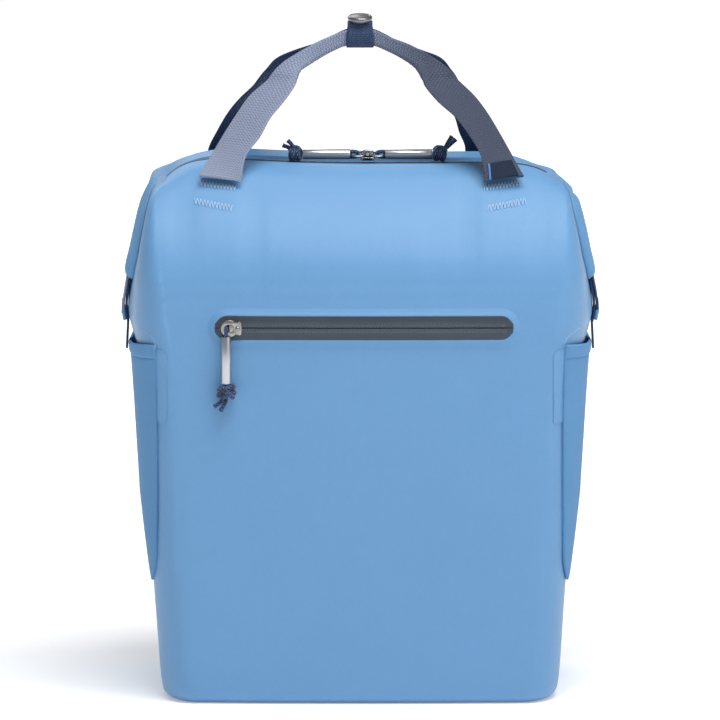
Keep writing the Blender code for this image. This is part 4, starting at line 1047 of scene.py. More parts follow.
class COOLER_OT_side_pockets(bpy.types.Operator):
    """Build the open side pockets with their doubled hems and welded edges"""

    bl_idname = "cooler.side_pockets"
    bl_label = "Side Pockets"

    def execute(self, context):
        sizes = context.scene.cooler_body
        paths = {}
        for sign, label in ((-1, "left"), (1, "right")):
            low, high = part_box("side_pocket_" + label)
            bottom, rim = low.z, high.z
            count = 84
            shares = np.linspace(0.0, 1.0, count)
            middle = np.sin(math.pi * shares)
            edge = 1 - np.abs(2 * shares - 1)
            outer, inner = [], []
            heights = np.concatenate([np.linspace(0.0, 0.9, 60), np.linspace(0.905, 1.0, 24)])
            for share in heights:
                past = 1 - np.minimum(edge / 0.30, 1.0)
                lift = 0.034 * (1 - np.sqrt(1 - past**2)) * (1 - share) ** 2
                dip = 0.0045 * middle * share**6 + 0.015 * shares**1.4 * share**2
                z = bottom + (rim - bottom) * share + lift - dip
                turn = 38.0 + 24.0 * share
                rows = np.empty((count, 3))
                outs = np.empty((count, 3))
                for i in range(count):
                    rows[i], outs[i] = pocket_point(paths, z[i], turn, i, count)
                stand = sizes.pocket_stand * middle**0.7 * min(share / 0.33, 1.0) ** 0.6
                stand += LIE + 0.0004 * np.sin(9 * shares + 5 * share) * middle * share
                below_hem = (rim - bottom) * (1 - share) - sizes.pocket_hem
                wall = sizes.pocket_wall + (0.0009 if below_hem < 0 else 0.0)
                wall -= 0.0005 * math.exp(-((below_hem / 0.0011) ** 2))
                round_rim = math.sqrt(max(1 - max((share - 0.992) / 0.008, 0.0) ** 2, 0.06))
                inner.append(rows + outs * stand[:, None])
                outer.append(rows + outs * (stand + wall * round_rim)[:, None])
            front = np.array(outer)
            back = np.array(inner)
            loop = np.concatenate([front, back[::-1]], axis=0)
            loop[..., 0] *= sign
            form = Form()
            form.shell(np.swapaxes(loop, 0, 1))
            nodes = ("side_pocket_" + label, "pocket_hem_" + label)
            made = form.show("pocket_cloth_" + label, pocket_cloth(), "pocket_cloth", *nodes)
        return {"FINISHED"}


def pocket_point(paths, z, turn, index, count):
    """A point of the side path at a height. Points that lie within a millimetre share a path."""
    key = (round(float(z) * 1000), round(float(turn)))
    if key not in paths:
        paths[key] = side_path(key[0] / 1000, turn, turn, count)
    path, out = paths[key]
    point = path[index].copy()
    point[2] = z
    return point, out[index]


# Zips


def stadium(reach, radius, offset, count=40):
    """Points round a round-ended window, as x and height from its middle, with a set offset outwards."""
    straight = reach - radius
    r = radius + offset
    points = [(-straight + 2 * straight * i / count, -r) for i in range(count)]
    points += [(straight + r * math.sin(a), -r * math.cos(a)) for a in np.linspace(0, math.pi, 24)]
    points += [(straight - 2 * straight * i / count, r) for i in range(1, count)]
    points += [(-straight - r * math.sin(a), r * math.cos(a)) for a in np.linspace(0, math.pi, 24)]
    return points


def tape_relief(across, lip, slit, slit_width):
    """How far the tape stands up at a distance from its middle: a lip on each side of its slit."""
    lips = lip * math.exp(-(((abs(across) - 0.0026) / 0.0016) ** 2))
    return lips - slit * math.exp(-((across / slit_width) ** 2))


def coil_teeth(name, start, count, seat, across, wide, tall, tuck):
    """Two rows of bent teeth that mesh half a pitch apart. The seat gives a tooth's place in a row."""
    pitch = bpy.context.scene.cooler_zips.tooth_pitch
    x_axis, across = np.array([1.0, 0.0, 0.0]), np.array(across)
    form = Form()
    for i in range(count):
        for row, lag in ((1, 0.0), (-1, 0.5)):
            place = np.array(seat(start + (i + lag) * pitch, row))
            arc = [
                place + wide * math.cos(a) * x_axis + row * (tall * math.sin(a) - tuck) * across
                for a in np.linspace(-0.5, math.pi + 0.5, 7)
            ]
            form.tube(arc, COIL_WIRE, sides=5)
    form.show(name, coil_rubber(), "zip_tape")


class COOLER_OT_pocket_zip(bpy.types.Operator):
    """Build the front pocket's zip: rubber tape, two rows of coil teeth and the raised cloth edge"""

    bl_idname = "cooler.pocket_zip"
    bl_label = "Front Pocket Zip"

    def execute(self, context):
        sizes = context.scene.cooler_zips
        reach = POCKET_TAPE_HIGH.x
        shift = sizes.shift
        radius = (POCKET_TAPE_HIGH.z - POCKET_TAPE_LOW.z) / 2
        z_mid = (POCKET_TAPE_HIGH.z + POCKET_TAPE_LOW.z) / 2
        proud = 0.0012
        form = Form()
        lines = []
        for x in np.linspace(-reach + 0.0002, reach - 0.0002, 150):
            past = max(abs(x) - (reach - radius), 0.0)
            half = math.sqrt(max(radius**2 - past**2, 0.0)) + 0.0012
            row = []
            for s in np.linspace(-1, 1, 31):
                across = s * half
                point, _ = Skin.front(x + shift, z_mid + across)
                bulge = 0.0011 * (1 - s * s)
                rise = proud + tape_relief(across, 0.0006, 0.0007, 0.00045) + bulge
                row.append((x + shift, point[1] - rise, z_mid + across))
            lines.append(row)
        form.band(lines, 0.0008)
        form.show("pocket_zip_rubber", tape_rubber(), "zip_tape", "pocket_zip_tape")

        def seat(x, row):
            z = z_mid + row * 0.0022
            point, _ = Skin.front(x, z)
            return (x, point[1] - proud - 0.00202, z)

        start = shift - reach + 0.013
        count = int((shift + reach - 0.004 - start) / sizes.tooth_pitch)
        coil_teeth("pocket_zip_coil", start, count, seat, (0, 0, 1), 0.00062, 0.0014, 0.0005)
        bezel = Form()
        rings = []
        for offset, rise in (
            (sizes.bezel_width * 2.0, -0.0005),
            (sizes.bezel_width * 1.5, 0.0001),
            (sizes.bezel_width, 0.0006),
            (sizes.bezel_width * 0.55, 0.0014),
            (0.0010, 0.00215),
            (0.0004, 0.00225),
            (-0.0001, 0.0021),
            (-0.0003, 0.0016),
            (-0.0003, 0.0006),
        ):
            ring = []
            for x, dz in stadium(reach, radius, offset):
                point, _ = Skin.front(x + shift, z_mid + dz)
                ring.append((x + shift, point[1] - rise, z_mid + dz))
            rings.append(ring)
        bezel.shell(rings, caps=False)
        bezel.show("pocket_zip_edge", body_cloth(), "body_cloth", smooth_angle=80)
        return {"FINISHED"}


class COOLER_OT_top_zip(bpy.types.Operator):
    """Build the zip along the ridge: rubber tape with its lips and coil teeth"""

    bl_idname = "cooler.top_zip"
    bl_label = "Top Zip"

    def execute(self, context):
        reach = TOP_TAPE_HIGH.x - 0.0045
        half = 0.0088

        def ridge(x):
            return Skin.cast((x, ZIP_Y - 0.006, 1.0), (0, 0, -1))[0][2]

        form = Form()
        lines = []
        for x in np.linspace(-reach, reach, 120):
            row = []
            for across in np.linspace(-half, half, 25):
                rise = 0.0014 + tape_relief(across, 0.0005, 0.0006, 0.0005)
                row.append((x, ZIP_Y + across, ridge(x) + rise))
            lines.append(row)
        form.band(lines, 0.0010)
        form.show("top_zip_rubber", tape_rubber(), "zip_tape", "top_zip_tape")

        def seat(x, row):
            return (x, ZIP_Y + row * 0.0019, ridge(x) + 0.0024)

        count = int((2 * reach - 0.012) / context.scene.cooler_zips.tooth_pitch)
        coil_teeth("top_zip_coil", -reach + 0.006, count, seat, (0, 1, 0), 0.00058, 0.0011, 0.0003)
        return {"FINISHED"}


def frame_axes(right, up, out):
    return np.array([right, up, out], float)


def eye_plate(name, axes, centre, radius, stem, finish, slot, *nodes):
    """The slider's flat eye: a ring that runs into a short plate. Local X points along the zip."""
    outline = []
    half = radius * 0.80
    for a in np.linspace(math.radians(42), math.radians(318), 34):
        outline.append((radius * math.cos(a), radius * math.sin(a)))
    corner = 0.0008
    outline += [(radius * 0.86, -half * 0.86), (stem - corner, -half), (stem, -half + corner)]
    outline += [(stem, half - corner), (stem - corner, half), (radius * 0.86, half * 0.86)]
    curve = bpy.data.curves.new(name, "CURVE")
    curve.dimensions = "2D"
    curve.fill_mode = "BOTH"
    curve.extrude = 0.00045
    curve.bevel_depth = 0.00032
    curve.bevel_resolution = 2
    turns = np.linspace(0, 2 * math.pi, 28, endpoint=False)
    hole = [(radius * 0.60 * math.cos(a), radius * 0.56 * math.sin(a)) for a in turns]
    for loop in (outline, hole):
        spline = curve.splines.new("POLY")
        spline.points.add(len(loop) - 1)
        spline.use_cyclic_u = True
        for slot_point, (x, y) in zip(spline.points, loop):
            slot_point.co = (x, y, 0.0, 1.0)
    holder = bpy.data.objects.new(name, curve)
    bpy.context.scene.collection.objects.link(holder)
    bpy.context.view_layer.update()
    mesh = bpy.data.meshes.new_from_object(holder.evaluated_get(bpy.context.evaluated_depsgraph_get()))
    bpy.data.objects.remove(holder, do_unlink=True)
    bend(mesh, axes, centre)
    work = bmesh.new()
    work.from_mesh(mesh)
    bmesh.ops.remove_doubles(work, verts=work.verts, dist=0.00001)
    bmesh.ops.recalc_face_normals(work, faces=work.faces)
    work.to_mesh(mesh)
    work.free()
    mesh.shade_smooth()
    mesh.set_sharp_from_angle(angle=math.radians(35))
    return piece(name, mesh, finish, slot, *nodes)


def bend(mesh, axes, centre):
    """Moves a mesh from its own frame to its place."""
    count = len(mesh.vertices)
    co = np.empty(count * 3, np.float32)
    mesh.vertices.foreach_get("co", co)
    moved = co.reshape(-1, 3) @ np.asarray(axes) + np.asarray(centre)
    mesh.vertices.foreach_set("co", moved.astype(np.float32).ravel())
    mesh.update()


def knot_and_tails(form, axes, centre, radius, tails):
    """A double overhand knot in a doubled cord: wraps that cross the cord aslant, and two cut tails."""
    centre = np.asarray(centre, float)

    def at(x, y, z):
        return centre + np.array([x, y, z]) @ axes

    wraps = ((0.0020, 0.20, 1.00), (-0.0024, 0.16, 1.12))
    for offset, slant, swell in wraps:
        ring = []
        for a in np.linspace(0, 2 * math.pi, 30, endpoint=False):
            x = 0.0048 * swell * math.cos(a)
            z = 0.0031 * swell * math.sin(a)
            ring.append(at(x, offset + slant * x, z))
        form.tube(ring, radius * 1.45, sides=14, closed=True)
    form.tube(resample([at(*p) for p in KNOT_STRAND], 14), radius * 1.15, sides=12)
    form.blob(at(0, -0.0006, 0), axes, (0.0048, 0.0052, 0.0036), 8, 14)
    for tail in tails:
        line = resample([at(*p) for p in tail], 14)
        swell = np.full(14, radius)
        swell[-2:] = radius * 1.12
        form.tube(line, swell, sides=12)


def middle_of(node):
    """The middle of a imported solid's box."""
    low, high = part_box(node)
    return (np.array(low) + np.array(high)) / 2


def pull(prefix, ring_centre, axes, tails):
    """Cord, tube and knot of one pull. Local -Y runs from the ring to the knot, local Z out of the cloth."""
    low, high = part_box(prefix + "_tube")
    centre = middle_of(prefix + "_tube")
    half = max(high - low) / 2
    radius = min(high - low) / 2
    cord = bpy.context.scene.cooler_zips.cord / 2
    wall = 0.0006
    profile = (
        (radius - wall, -half + 0.001),
        (radius - wall, -half),
        (radius - wall * 0.35, -half),
        (radius, -half + 0.0004),
        (radius, half - 0.0004),
        (radius - wall * 0.35, half),
        (radius - wall, half),
        (radius - wall, half - 0.001),
    )
    tube = Form()
    tube.turned(profile, centre, axes[1], 48)
    tube.show(prefix + "_tube_fine", aluminium(), "aluminium", prefix + "_tube", smooth_angle=40)
    form = Form()
    top = centre + axes[1] * half
    reach = float((np.asarray(ring_centre) - top) @ axes[1])
    for side in (-1, 1):
        line = [
            top - axes[1] * 0.004 + axes[2] * side * cord * 1.02,
            top + axes[1] * reach * 0.35 + axes[2] * side * cord * 1.25,
            top + axes[1] * reach * 0.8 + axes[2] * side * cord * 1.1,
            top + axes[1] * (reach + 0.0012),
        ]
        form.tube(resample(line, 12), cord, sides=12)
    knot_and_tails(form, axes, centre - axes[1] * (half + 0.0052), cord, tails)
    form.show(prefix + "_cord_fine", cord_finish(), "pull_cord", prefix + "_cord", smooth_angle=60)


class COOLER_OT_pulls(bpy.types.Operator):
    """Build the three zip pulls: sliders, eyes, cords, tubes and knots"""

    bl_idname = "cooler.pulls"
    bl_label = "Zip Pulls"

    def execute(self, context):
        x_axis, y_axis, z_axis = np.eye(3)
        centre = middle_of("pocket_ring")
        flat = frame_axes(x_axis, z_axis, -y_axis)
        eye_plate(
            "pocket_slider_eye", flat, centre + np.array([0.0024, 0.0006, 0.0004]),
            context.scene.cooler_zips.loop_radius, 0.0086, nickel(), "slider", "pocket_slider", "pocket_ring",
        )
        rivet = Form()
        head = ((0.0, 0.0020), (0.0012, 0.0019), (0.0017, 0.0012), (0.0018, 0.0), (0.0, 0.0))
        rivet.turned(head, centre + np.array([0.0084, 0.0, 0.0004]), (0, -1, 0), 20)
        rivet.show("pocket_slider_rivet", nickel(), "slider")
        place = centre + np.array([0.0066, 0.0020, 0.0])
        body = rounded_block("pocket_slider_body", (0.0100, 0.0030, 0.0088), place, 0.0010)
        piece("pocket_slider_body", body, nickel(), "slider")
        pull("pocket", centre, flat, CORD_TAILS["pocket"])
        for prefix, sign in (("top_left", -1), ("top_right", 1)):
            centre = middle_of(prefix + "_ring")
            foot = centre - np.array([sign * 0.0066, 0, 0.0])
            wire = Form()
            loop = [
                centre + np.array([sign * 0.0056 * math.cos(a), 0.0042 * math.sin(a), 0.0012 * math.sin(a)])
                for a in np.linspace(0, 2 * math.pi, 30, endpoint=False)
            ]
            wire.tube(loop, 0.0009, sides=10, closed=True)
            bridge = [foot + np.array([sign * along, 0, rise]) for along, rise in SLIDER_BRIDGE]
            wire.tube(resample(bridge, 16), 0.0010, sides=10)
            wire.show(prefix + "_loop", nickel(), "slider", prefix + "_slider", prefix + "_ring")
            name = prefix + "_slider_body"
            block = rounded_block(name, (0.0092, 0.0086, 0.0026), foot + np.array([0, 0, -0.0030]), 0.0008)
            piece(name, block, nickel(), "slider")
            pull(prefix, centre, frame_axes(-sign * y_axis, -sign * x_axis, z_axis), CORD_TAILS[prefix])
        return {"FINISHED"}


# Handles


def edges_of(table):
    """Smooth edges and fold of a whole handle from its left foot to its right foot."""
    rows = np.array([tuple(r) for r in table])
    rows[:, :6] *= MM
    rows[:, 7:] *= MM
    outer, inner, fold = rows[:, 0:3], rows[:, 3:6], rows[:, 6:7]
    mirror = np.array([-1.0, 1.0, 1.0])
    x_axis = np.array([[1.0, 0.0, 0.0]])
    right_outer = outer + rows[:, 7:8] * x_axis
    right_inner = inner + rows[:, 8:9] * x_axis
    crown_outer = np.array([[0.0, outer[-1, 1], outer[-1, 2] + 0.0006]])
    crown_inner = np.array([[0.0, inner[-1, 1], inner[-1, 2] + 0.0006]])
    all_outer = np.concatenate([outer * mirror, crown_outer, right_outer[::-1]])
    all_inner = np.concatenate([inner * mirror, crown_inner, right_inner[::-1]])
    all_fold = np.concatenate([fold, [[1.0]], fold[::-1]])
    values = np.concatenate([all_outer, all_inner, all_fold], axis=1)
    middle = (all_outer + all_inner) / 2
    places = np.concatenate([[0.0], np.cumsum(np.linalg.norm(np.diff(middle, axis=0), axis=1))])
    fine = smooth_through(places, values, np.linspace(0.0, places[-1], 230))
    return fine[:, 0:3], fine[:, 3:6], np.clip(fine[:, 6], 0.0, 1.0)


def smooth_through(places, values, wanted):
    """Like between, but rounder: each slope is that of the line through both neighbours."""
    values = np.asarray(values, float)
    slope = np.gradient(values, places, axis=0)
    i = np.clip(np.searchsorted(places, wanted) - 1, 0, len(places) - 2)
    h = np.diff(places)[i][:, None]
    t = ((wanted - places[i]) / h[:, 0])[:, None]
    low = values[i] * (1 + 2 * t) * (1 - t) ** 2 + slope[i] * h * t * (1 - t) ** 2
    high = values[i + 1] * t * t * (3 - 2 * t) + slope[i + 1] * h * t * t * (t - 1)
    return low + high


def folded_lines(outer, inner, fold, gap, facing):
    """The webbing's section at each row. Its crease runs along the inner edge and takes in more of the
    webbing the more it folds, until both halves lie one behind the other."""
    s = np.linspace(0.0, 1.0, 49)
    along = unit(np.gradient((outer + inner) / 2, axis=0))
    lines = []
    for a, b, f, direction in zip(outer, inner, fold, along):
        across = b - a
        out = unit(np.cross(across, direction))
        if out[1] * facing < 0:
            out = -out
        crease = 1.0 - 0.5 * f
        to_crease = np.minimum(s / crease, 1.0) - np.maximum(s - crease, 0.0) / crease
        turn = np.clip((s - crease) * 9.0, -1.0, 1.0) * min(f * 3.0, 1.0)
        depth = -np.sin(turn * math.pi / 2) * gap / 2 * min(f * 4.0, 1.0)
        cup = 0.0008 * np.sin(math.pi * np.clip(to_crease, 0.0, 1.0)) * (1 - f)
        lines.append(a + across * to_crease[:, None] + out * (depth + cup)[:, None])
    return np.array(lines)


class COOLER_OT_handles(bpy.types.Operator):
    """Build both webbing handles, flat at their feet and doubled along the grip"""

    bl_idname = "cooler.handles"
    bl_label = "Grab Handles"

    def execute(self, context):
        sizes = context.scene.cooler_webbing
        for name, table, facing, finish, slot in (
            ("handle_front", FRONT_HANDLE_EDGES, -1, front_webbing(), "webbing_front"),
            ("handle_back", BACK_HANDLE_EDGES, 1, navy_webbing(), "webbing_navy"),
        ):
            outer, inner, fold = edges_of(table)
            lines = folded_lines(outer, inner, fold, sizes.fold_gap, facing)
            form = Form()
            form.band(lines, sizes.thickness)
            form.show(name + "_webbing", finish, slot, name, smooth_angle=60)
            if facing < 0:
                make_label(lines, sizes.thickness)
        return {"FINISHED"}


def make_label(lines, thickness):
    """The bare patch on the front handle's right foot, with a coloured selvedge at its inner end."""
    foot = lines[LABEL_ROWS]
    area = foot[:, LABEL_COLUMNS]
    out = unit(np.cross(np.gradient(area, axis=1), np.gradient(area, axis=0)))
    out = np.where(out[..., 1:2] > 0, -out, out)
    patch = Form()
    patch.band(area + out * (thickness / 2 + 0.0007), 0.0009)
    patch.show("handle_patch", patch_cloth(), "label", "handle_label")
    edge = Form()
    edge.band(foot[:, SELVEDGE_COLUMNS] + out[:, -1:] * (thickness / 2 + 0.0011), 0.0006)
    edge.show("handle_patch_edge", sewing_thread("thread_bright", linear("3f7fc6")), "label")


class COOLER_OT_wrap(bpy.types.Operator):
    """Build the wrap that holds both grips, its pinched flap and the snap cap"""

    bl_idname = "cooler.wrap"
    bl_label = "Handle Wrap"

    def execute(self, context):
        sizes = context.scene.cooler_webbing
        low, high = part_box("handle_wrap")
        y = (low.y + high.y) / 2
        bottom, top = low.z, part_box("handle_wrap_flap")[1].z
        reach = (high.y - low.y) / 2 - 0.0007
        side = [(reach * p.share, (top if p.from_top else bottom) + p.height) for p in WRAP_OUTLINE]
        outline = [(-out, z) for out, z in side] + side[-2::-1]
        path = resample([(0.0, y + dy, z) for dy, z in outline], 90)
        half_low = sizes.wrap_width / 2
        rows = []
        for point in path:
            rise = np.clip((point[2] - bottom - 0.009) / 0.006, 0.0, 1.0)
            half = half_low * (1 - 0.10 * rise)
            rows.append([(s * half, point[1], point[2]) for s in np.linspace(-1, 1, 15)])
        form = Form()
        form.band(rows, 0.0015)
        nodes = ("handle_wrap", "handle_wrap_flap")
        form.show("handle_wrap_webbing", navy_webbing(), "webbing_front", *nodes, smooth_angle=60)
        hem = Form()
        edge = [(s * half_low, y - reach - 0.0011, bottom + 0.0026) for s in np.linspace(-1, 1, 10)]
        hem.tube(edge, 0.0007, 8)
        hem.show("handle_wrap_hem", navy_webbing(), "webbing_front")
        thread = Form()
        for i in range(7):
            x = (i - 3) * 0.0021
            start = np.array([x - 0.0007, y - reach * 0.62 - 0.0012, top - 0.0022])
            thread.stitch(start, start + np.array([0.0014, 0, 0]), (0, -1, 0), 0.00028)
        thread.show("handle_wrap_stitches", sewing_thread("thread_navy", linear("1c2c4c")), "webbing_front")
        make_cap("handle_snap", "handle_snap_cap", (0.0, -0.10, 1.0), sizes.snap_diameter)
        return {"FINISHED"}


def make_cap(name, node, axis, diameter, seat=None):
    """A pressed snap cap: a shallow dish with a rolled rim. One with a seat is flatter and lies on it."""
    low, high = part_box(node)
    thick = min(high - low) * (0.35 if seat else 1.0)
    foot = seat or middle_of(node) - unit(np.array(axis, float)) * thick / 2
    form = Form()
    form.turned([(diameter / 2 * out, thick * up) for out, up in CAP_PROFILE], foot, axis, 48)
    form.show(name, gunmetal(), "snap_metal", node, smooth_angle=35)


# Straps on the folded ends


def strip(form, line, across, width, thickness, columns=9):
    """Straight-edged webbing along a line, with its width along one direction."""
    line = np.asarray(line, float)
    across = np.asarray(across, float)
    shares = np.linspace(-0.5, 0.5, columns)
    rows = [[p + across * width * s for s in shares] for p in line]
    form.band(rows, thickness)


class COOLER_OT_side_straps(bpy.types.Operator):
    """Build the webbing and snaps that hold the folded ends down"""

    bl_idname = "cooler.side_straps"
    bl_label = "Side Straps"

    def execute(self, context):
        sizes = context.scene.cooler_webbing
        across = (0.0, 1.0, 0.0)
        t = sizes.thickness
        for sign, label in ((-1, "left"), (1, "right")):
            low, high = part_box("wing_strap_" + label)
            inner_low, inner_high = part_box("side_strap_" + label)

            def lying(z, layers):
                """Distance from the middle plane of the given layer of webbing at a height."""
                fallen = (STRAP_TOP_Z - z) / (STRAP_TOP_Z - inner_low.z)
                free = STRAP_TOP_X + (STRAP_TIP_X - STRAP_TOP_X) * fallen
                cloth = abs(Skin.side(sign, ZIP_Y, z)[0][0]) + t / 2 + LIE
                return max(free, cloth) + layers * (t + LIE)

            outer = Form()
            heights = np.linspace(high.z + 0.004, low.z, 26)
            strip(outer, [(sign * lying(z, 1), ZIP_Y, z) for z in heights], across, sizes.side_width, t)
            # The left strap is painted in the paler grey webbing with its painted sheen, the right one in
            # navy: the difference between the two sides is painted light
            finish = front_webbing() if sign < 0 else navy_webbing()
            outer.show("wing_strap_webbing_" + label, finish, "webbing_navy", "wing_strap_" + label)
            tab = Form()
            heights = np.linspace(low.z + 0.0072, low.z - 0.0003, 8)
            tab_line = [(sign * (lying(z, 1) + 0.0002), ZIP_Y, z) for z in heights]
            strip(tab, tab_line, across, sizes.side_width * 1.01, t * 1.3)
            tab.show("wing_strap_tab_" + label, folded_cloth(), "body_cloth")
            inner = Form()
            rows = []
            for z in np.linspace(inner_high.z + 0.002, inner_low.z + 0.001, 34):
                half = sizes.side_width / 2 * (1 - 0.35 * ramp(inner_low.z + 0.008 - z, 0.0, 0.008))
                rows.append([(sign * lying(z, 0), ZIP_Y + s * half, z) for s in np.linspace(-1, 1, 9)])
            inner.band(rows, t)
            inner.show("side_strap_webbing_" + label, navy_webbing(), "webbing_navy", "side_strap_" + label)
            snap_low, snap_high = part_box("wing_snap_" + label)
            cap_z = (snap_low.z + snap_high.z) / 2
            seat = (sign * (lying(cap_z, 1) + t / 2), ZIP_Y, cap_z)
            make_cap("wing_snap_cap_" + label, "wing_snap_" + label, (sign, 0.0, 0.06), 0.012, seat)
        return {"FINISHED"}


# Carrying straps on the back


class COOLER_OT_back_straps(bpy.types.Operator):
    """Build the padded shoulder straps, their yoke, webbing and adjusters"""

    bl_idname = "cooler.back_straps"
    bl_label = "Shoulder Straps"

    def execute(self, context):
        thickness = context.scene.cooler_webbing.thickness
        mesh_cloth = spacer_mesh("spacer_mesh", linear("1a2942"))
        x_axis = np.array([1.0, 0.0, 0.0])
        shares = np.linspace(0.0, 1.0, 61)
        for sign, label in ((-1, "left"), (1, "right")):
            line = []
            for t in shares:
                x = sign * (PAD_TOP_X + (PAD_END_X - PAD_TOP_X) * t)
                z = PAD_TOP_Z + (PAD_END_Z - PAD_TOP_Z) * t
                lift = PAD_BOW * (1 - math.cos(2 * math.pi * t)) / 2
                line.append((x, Skin.back(x, z)[0][1] + PAD_THICK / 2 + 0.0012 + lift, z))
            line = np.array(line)
            along = unit(np.gradient(line, axis=0))
            rings = [pad_section(t, point, way) for t, point, way in zip(shares, line, along)]
            form = Form()
            form.shell(rings)
            name = "shoulder_pad_" + label
            pad = form.show(name, mesh_cloth, "padding", "shoulder_strap_" + label, smooth_angle=70)
            outer = []
            for point, way in zip(line[6:], along[6:]):
                out = np.cross(x_axis, way)
                outer.append(point + np.where(out[1] > 0, out, -out) * (PAD_THICK / 2 + thickness / 2))
            web = Form()
            strip(web, outer, x_axis, 0.025, thickness)
            web.show("shoulder_webbing_" + label, navy_webbing(), "webbing_navy")
            thread = Form()
            for edge in (-1, 1):
                row = np.array(outer) + np.array([edge * 0.0108, thickness / 2 + 0.0002, 0])
                for start, end in zip(row, row[1:]):
                    gap = (end - start) * 0.12
                    thread.stitch(start + gap, end - gap, (0, 1, 0), 0.0003)
            blue = sewing_thread("thread_blue", linear("44648f"))
            thread.show("shoulder_stitches_" + label, blue, "webbing_navy")
            plastic = acetal("moulded_acetal", linear("1c222c"))
            plain_node("strap_adjuster_" + label, plastic)
            plain_node("lower_webbing_" + label, plain_navy_webbing())
            tab = Form()
            tab.band(on_back("lower_tab_" + label, 10, 17, 0.0014), 0.0018)
            tab.show("lower_patch_" + label, pocket_cloth(), "webbing_navy", "lower_tab_" + label)
        base = on_back("shoulder_yoke", 24, 60, 0.0006)
        t = np.linspace(-1, 1, 24)[:, None]
        s = np.linspace(-1, 1, 60)[None, :]
        crown = (1 - np.abs(t) ** 5) ** 0.45 * (1 - np.abs(s) ** 14) ** 0.45
        seam = 1 - 0.4 * np.exp(-(((np.abs(t) - 0.78) / 0.06) ** 2))
        raised = base.copy()
        raised[..., 1] += 0.0074 * crown * seam
        form = Form()
        form.shell(np.swapaxes(np.concatenate([raised, base[::-1]], axis=0), 0, 1))
        yoke = form.show("shoulder_yoke_pad", mesh_cloth, "padding", "shoulder_yoke", smooth_angle=60)
        return {"FINISHED"}


def pad_section(share, point, along):
    """The shoulder pad's section at a share of its length: a crowned cushion, pinched at its two seams."""
    width = PAD_WIDTH * (1 - 0.2 * share)
    end_round = min(1.0, 0.72 + 8 * min(share, 1 - share))
    right = np.array([1.0, 0.0, 0.0])
    right = unit(right - along * np.dot(right, along))
    out = np.cross(right, along)
    ring = []
    for a in np.linspace(0, 2 * math.pi, 40, endpoint=False):
        c, s = math.cos(a), math.sin(a)
        across = np.sign(c) * abs(c) ** 0.42 * width / 2
        depth = np.sign(s) * abs(s) ** 0.75 * PAD_THICK / 2 * end_round
        pinch = 1 - 0.45 * math.exp(-(((abs(across) - width * 0.43) / 0.0018) ** 2))
        ring.append(point + right * across + out * depth * pinch)
    return ring


def on_back(node, rows, columns, gap):
    """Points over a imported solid's outline, a small gap off the cloth of the back."""
    low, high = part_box(node)
    xs = np.linspace(low.x, high.x, columns)
    return np.array(
        [[(x, Skin.back(x, z)[0][1] + gap, z) for x in xs] for z in np.linspace(low.z, high.z, rows)]
    )


def plain_node(node, finish):
    """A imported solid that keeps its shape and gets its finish."""
    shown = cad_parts[node]
    shown.data.materials.clear()
    shown.data.materials.append(finish)


# Sewing


def bar_tack(form, sign, tack):
    """A dense zigzag row of thread on the front."""
    for i in range(TACK_STITCHES):
        share = (i + 0.5) / TACK_STITCHES
        x = sign * (tack.outer_x + (tack.inner_x - tack.outer_x) * share)
        z = tack.outer_z + (tack.inner_z - tack.outer_z) * share
        slant = 0.0005 if i % 2 else -0.0005
        top, out = Skin.front(x + slant, z + tack.tall / 2)
        foot, _ = Skin.front(x - slant, z - tack.tall / 2)
        form.stitch(foot + out * TACK_THREAD, top + out * TACK_THREAD, out, TACK_THREAD)


class COOLER_OT_sewing(bpy.types.Operator):
    """Sew the bar tacks under the handles and the curved seams above the side pockets"""

    bl_idname = "cooler.sewing"
    bl_label = "Sewing"

    def execute(self, context):
        thread = Form()
        for sign in (-1, 1):
            for tack in TACKS:
                bar_tack(thread, sign, tack)
            line = [Skin.front(sign * x, z) for x, z in SEAM_ARC]
            thread.tube(resample([p + out * 0.0001 for p, out in line], 24), 0.00022, 8)
        thread.show("bar_tacks", sewing_thread("thread_pale", linear("a3caf0")), "body_cloth")
        return {"FINISHED"}


class COOLER_OT_reinforcements(bpy.types.Operator):
    """Weld the thin rounded patches at the pockets' front corners"""

    bl_idname = "cooler.reinforcements"
    bl_label = "Welded Patches"

    def execute(self, context):
        x_near, x_far = 0.1425, 0.1515
        z_low, z_high = 0.2100, 0.2645
        for sign, label in ((-1, "left"), (1, "right")):
            rows = []
            for v in np.linspace(0, 1, 40):
                z = z_low + (z_high - z_low) * v
                over = max((v - 0.9) / 0.1, 0.0)
                near = x_near + 0.004 * (1 - math.sqrt(max(1 - over**2, 0.0)))
                row = []
                for u in np.linspace(0, 1, 12):
                    point, normal = Skin.front(sign * (near + (x_far - near) * u), z)
                    row.append(point + normal * 0.0004)
                rows.append(row)
            form = Form()
            form.band(rows, 0.0007)
            form.show("welded_patch_" + label, body_cloth(), "body_cloth")
        return {"FINISHED"}


# Stage


def area_light(light):
    data = bpy.data.lights.new(light.name, "AREA")
    data.shape = "RECTANGLE"
    data.size, data.size_y = light.size
    data.energy = light.power
    data.color = linear(light.tone)
    lamp = bpy.data.objects.new(light.name, data)
    bpy.context.scene.collection.objects.link(lamp)
    lamp.location = light.place
    lamp.rotation_euler = (Vector(light.aim) - Vector(light.place)).to_track_quat("-Z", "Y").to_euler()


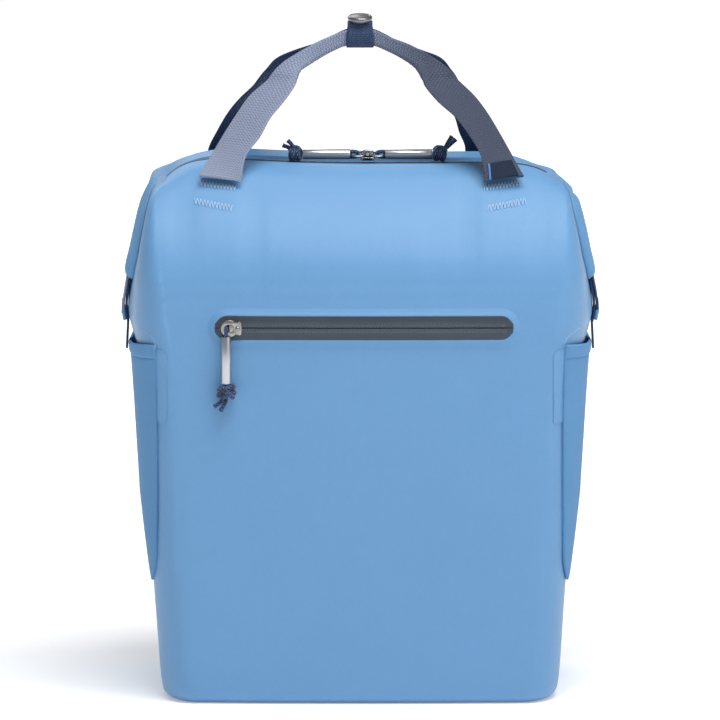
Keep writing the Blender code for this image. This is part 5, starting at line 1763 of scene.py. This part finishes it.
class COOLER_OT_stage(bpy.types.Operator):
    """Set up the studio paper, soft lights and the camera"""

    bl_idname = "cooler.stage"
    bl_label = "Studio"

    def execute(self, context):
        scene = context.scene
        stage = scene.cooler_stage
        work = bmesh.new()
        bmesh.ops.create_grid(work, x_segments=8, y_segments=8, size=12.0)
        data = bpy.data.meshes.new("studio_paper")
        work.to_mesh(data)
        work.free()
        floor = bpy.data.objects.new("studio_paper", data)
        scene.collection.objects.link(floor)
        data.materials.append(paper("studio_paper", colours().floor))
        world = bpy.data.worlds.new("studio_air")
        world.use_nodes = True
        air = world.node_tree.nodes["Background"]
        air.inputs["Color"].default_value = (*linear("fbfcff"), 1.0)
        air.inputs["Strength"].default_value = 0.30
        scene.world = world
        scene.view_settings.view_transform = "Standard"
        for light in LIGHTS:
            area_light(light)
        camera_data = bpy.data.cameras.new("camera")
        camera = bpy.data.objects.new("camera", camera_data)
        scene.collection.objects.link(camera)
        back = Vector((0.0, -math.cos(stage.elevation), math.sin(stage.elevation)))
        camera.location = Vector((0.0, 0.0, stage.aim_height)) + back * stage.distance
        camera.rotation_euler = (-back).to_track_quat("-Z", "Y").to_euler()
        camera_data.sensor_width = 36.0
        camera_data.lens = camera_data.sensor_width * stage.distance / stage.view_width
        camera_data.clip_start = 0.5
        camera_data.clip_end = 100.0
        scene.camera = camera
        return {"FINISHED"}


class COOLER_PT_panel(bpy.types.Panel):
    bl_label = "Cooler Backpack"
    bl_idname = "COOLER_PT_panel"
    bl_space_type = "VIEW_3D"
    bl_region_type = "UI"
    bl_category = "Cooler"

    def draw(self, context):
        for operator in OPERATORS:
            self.layout.operator(operator.bl_idname)
        for group, held in GROUPS:
            box = self.layout.box()
            for name in group.__annotations__:
                box.prop(getattr(context.scene, held), name)


OPERATORS = (
    COOLER_OT_body,
    COOLER_OT_wings,
    COOLER_OT_side_pockets,
    COOLER_OT_reinforcements,
    COOLER_OT_top_zip,
    COOLER_OT_pocket_zip,
    COOLER_OT_pulls,
    COOLER_OT_handles,
    COOLER_OT_wrap,
    COOLER_OT_side_straps,
    COOLER_OT_back_straps,
    COOLER_OT_sewing,
    COOLER_OT_stage,
)
GROUPS = (
    (CoolerBodySizes, "cooler_body"),
    (CoolerWebbingSizes, "cooler_webbing"),
    (CoolerZipSizes, "cooler_zips"),
    (CoolerColours, "cooler_colours"),
    (CoolerStage, "cooler_stage"),
)


def register():
    for group, name in GROUPS:
        bpy.utils.register_class(group)
        setattr(bpy.types.Scene, name, bpy.props.PointerProperty(type=group))
    for made in (*OPERATORS, COOLER_PT_panel):
        bpy.utils.register_class(made)


def unregister():
    for made in reversed((*OPERATORS, COOLER_PT_panel)):
        bpy.utils.unregister_class(made)
    for group, name in reversed(GROUPS):
        delattr(bpy.types.Scene, name)
        bpy.utils.unregister_class(group)


def main():
    register()
    for operator in OPERATORS:
        group, name = operator.bl_idname.split(".")
        getattr(getattr(bpy.ops, group), name)()


if __name__ == "__main__":
    main()
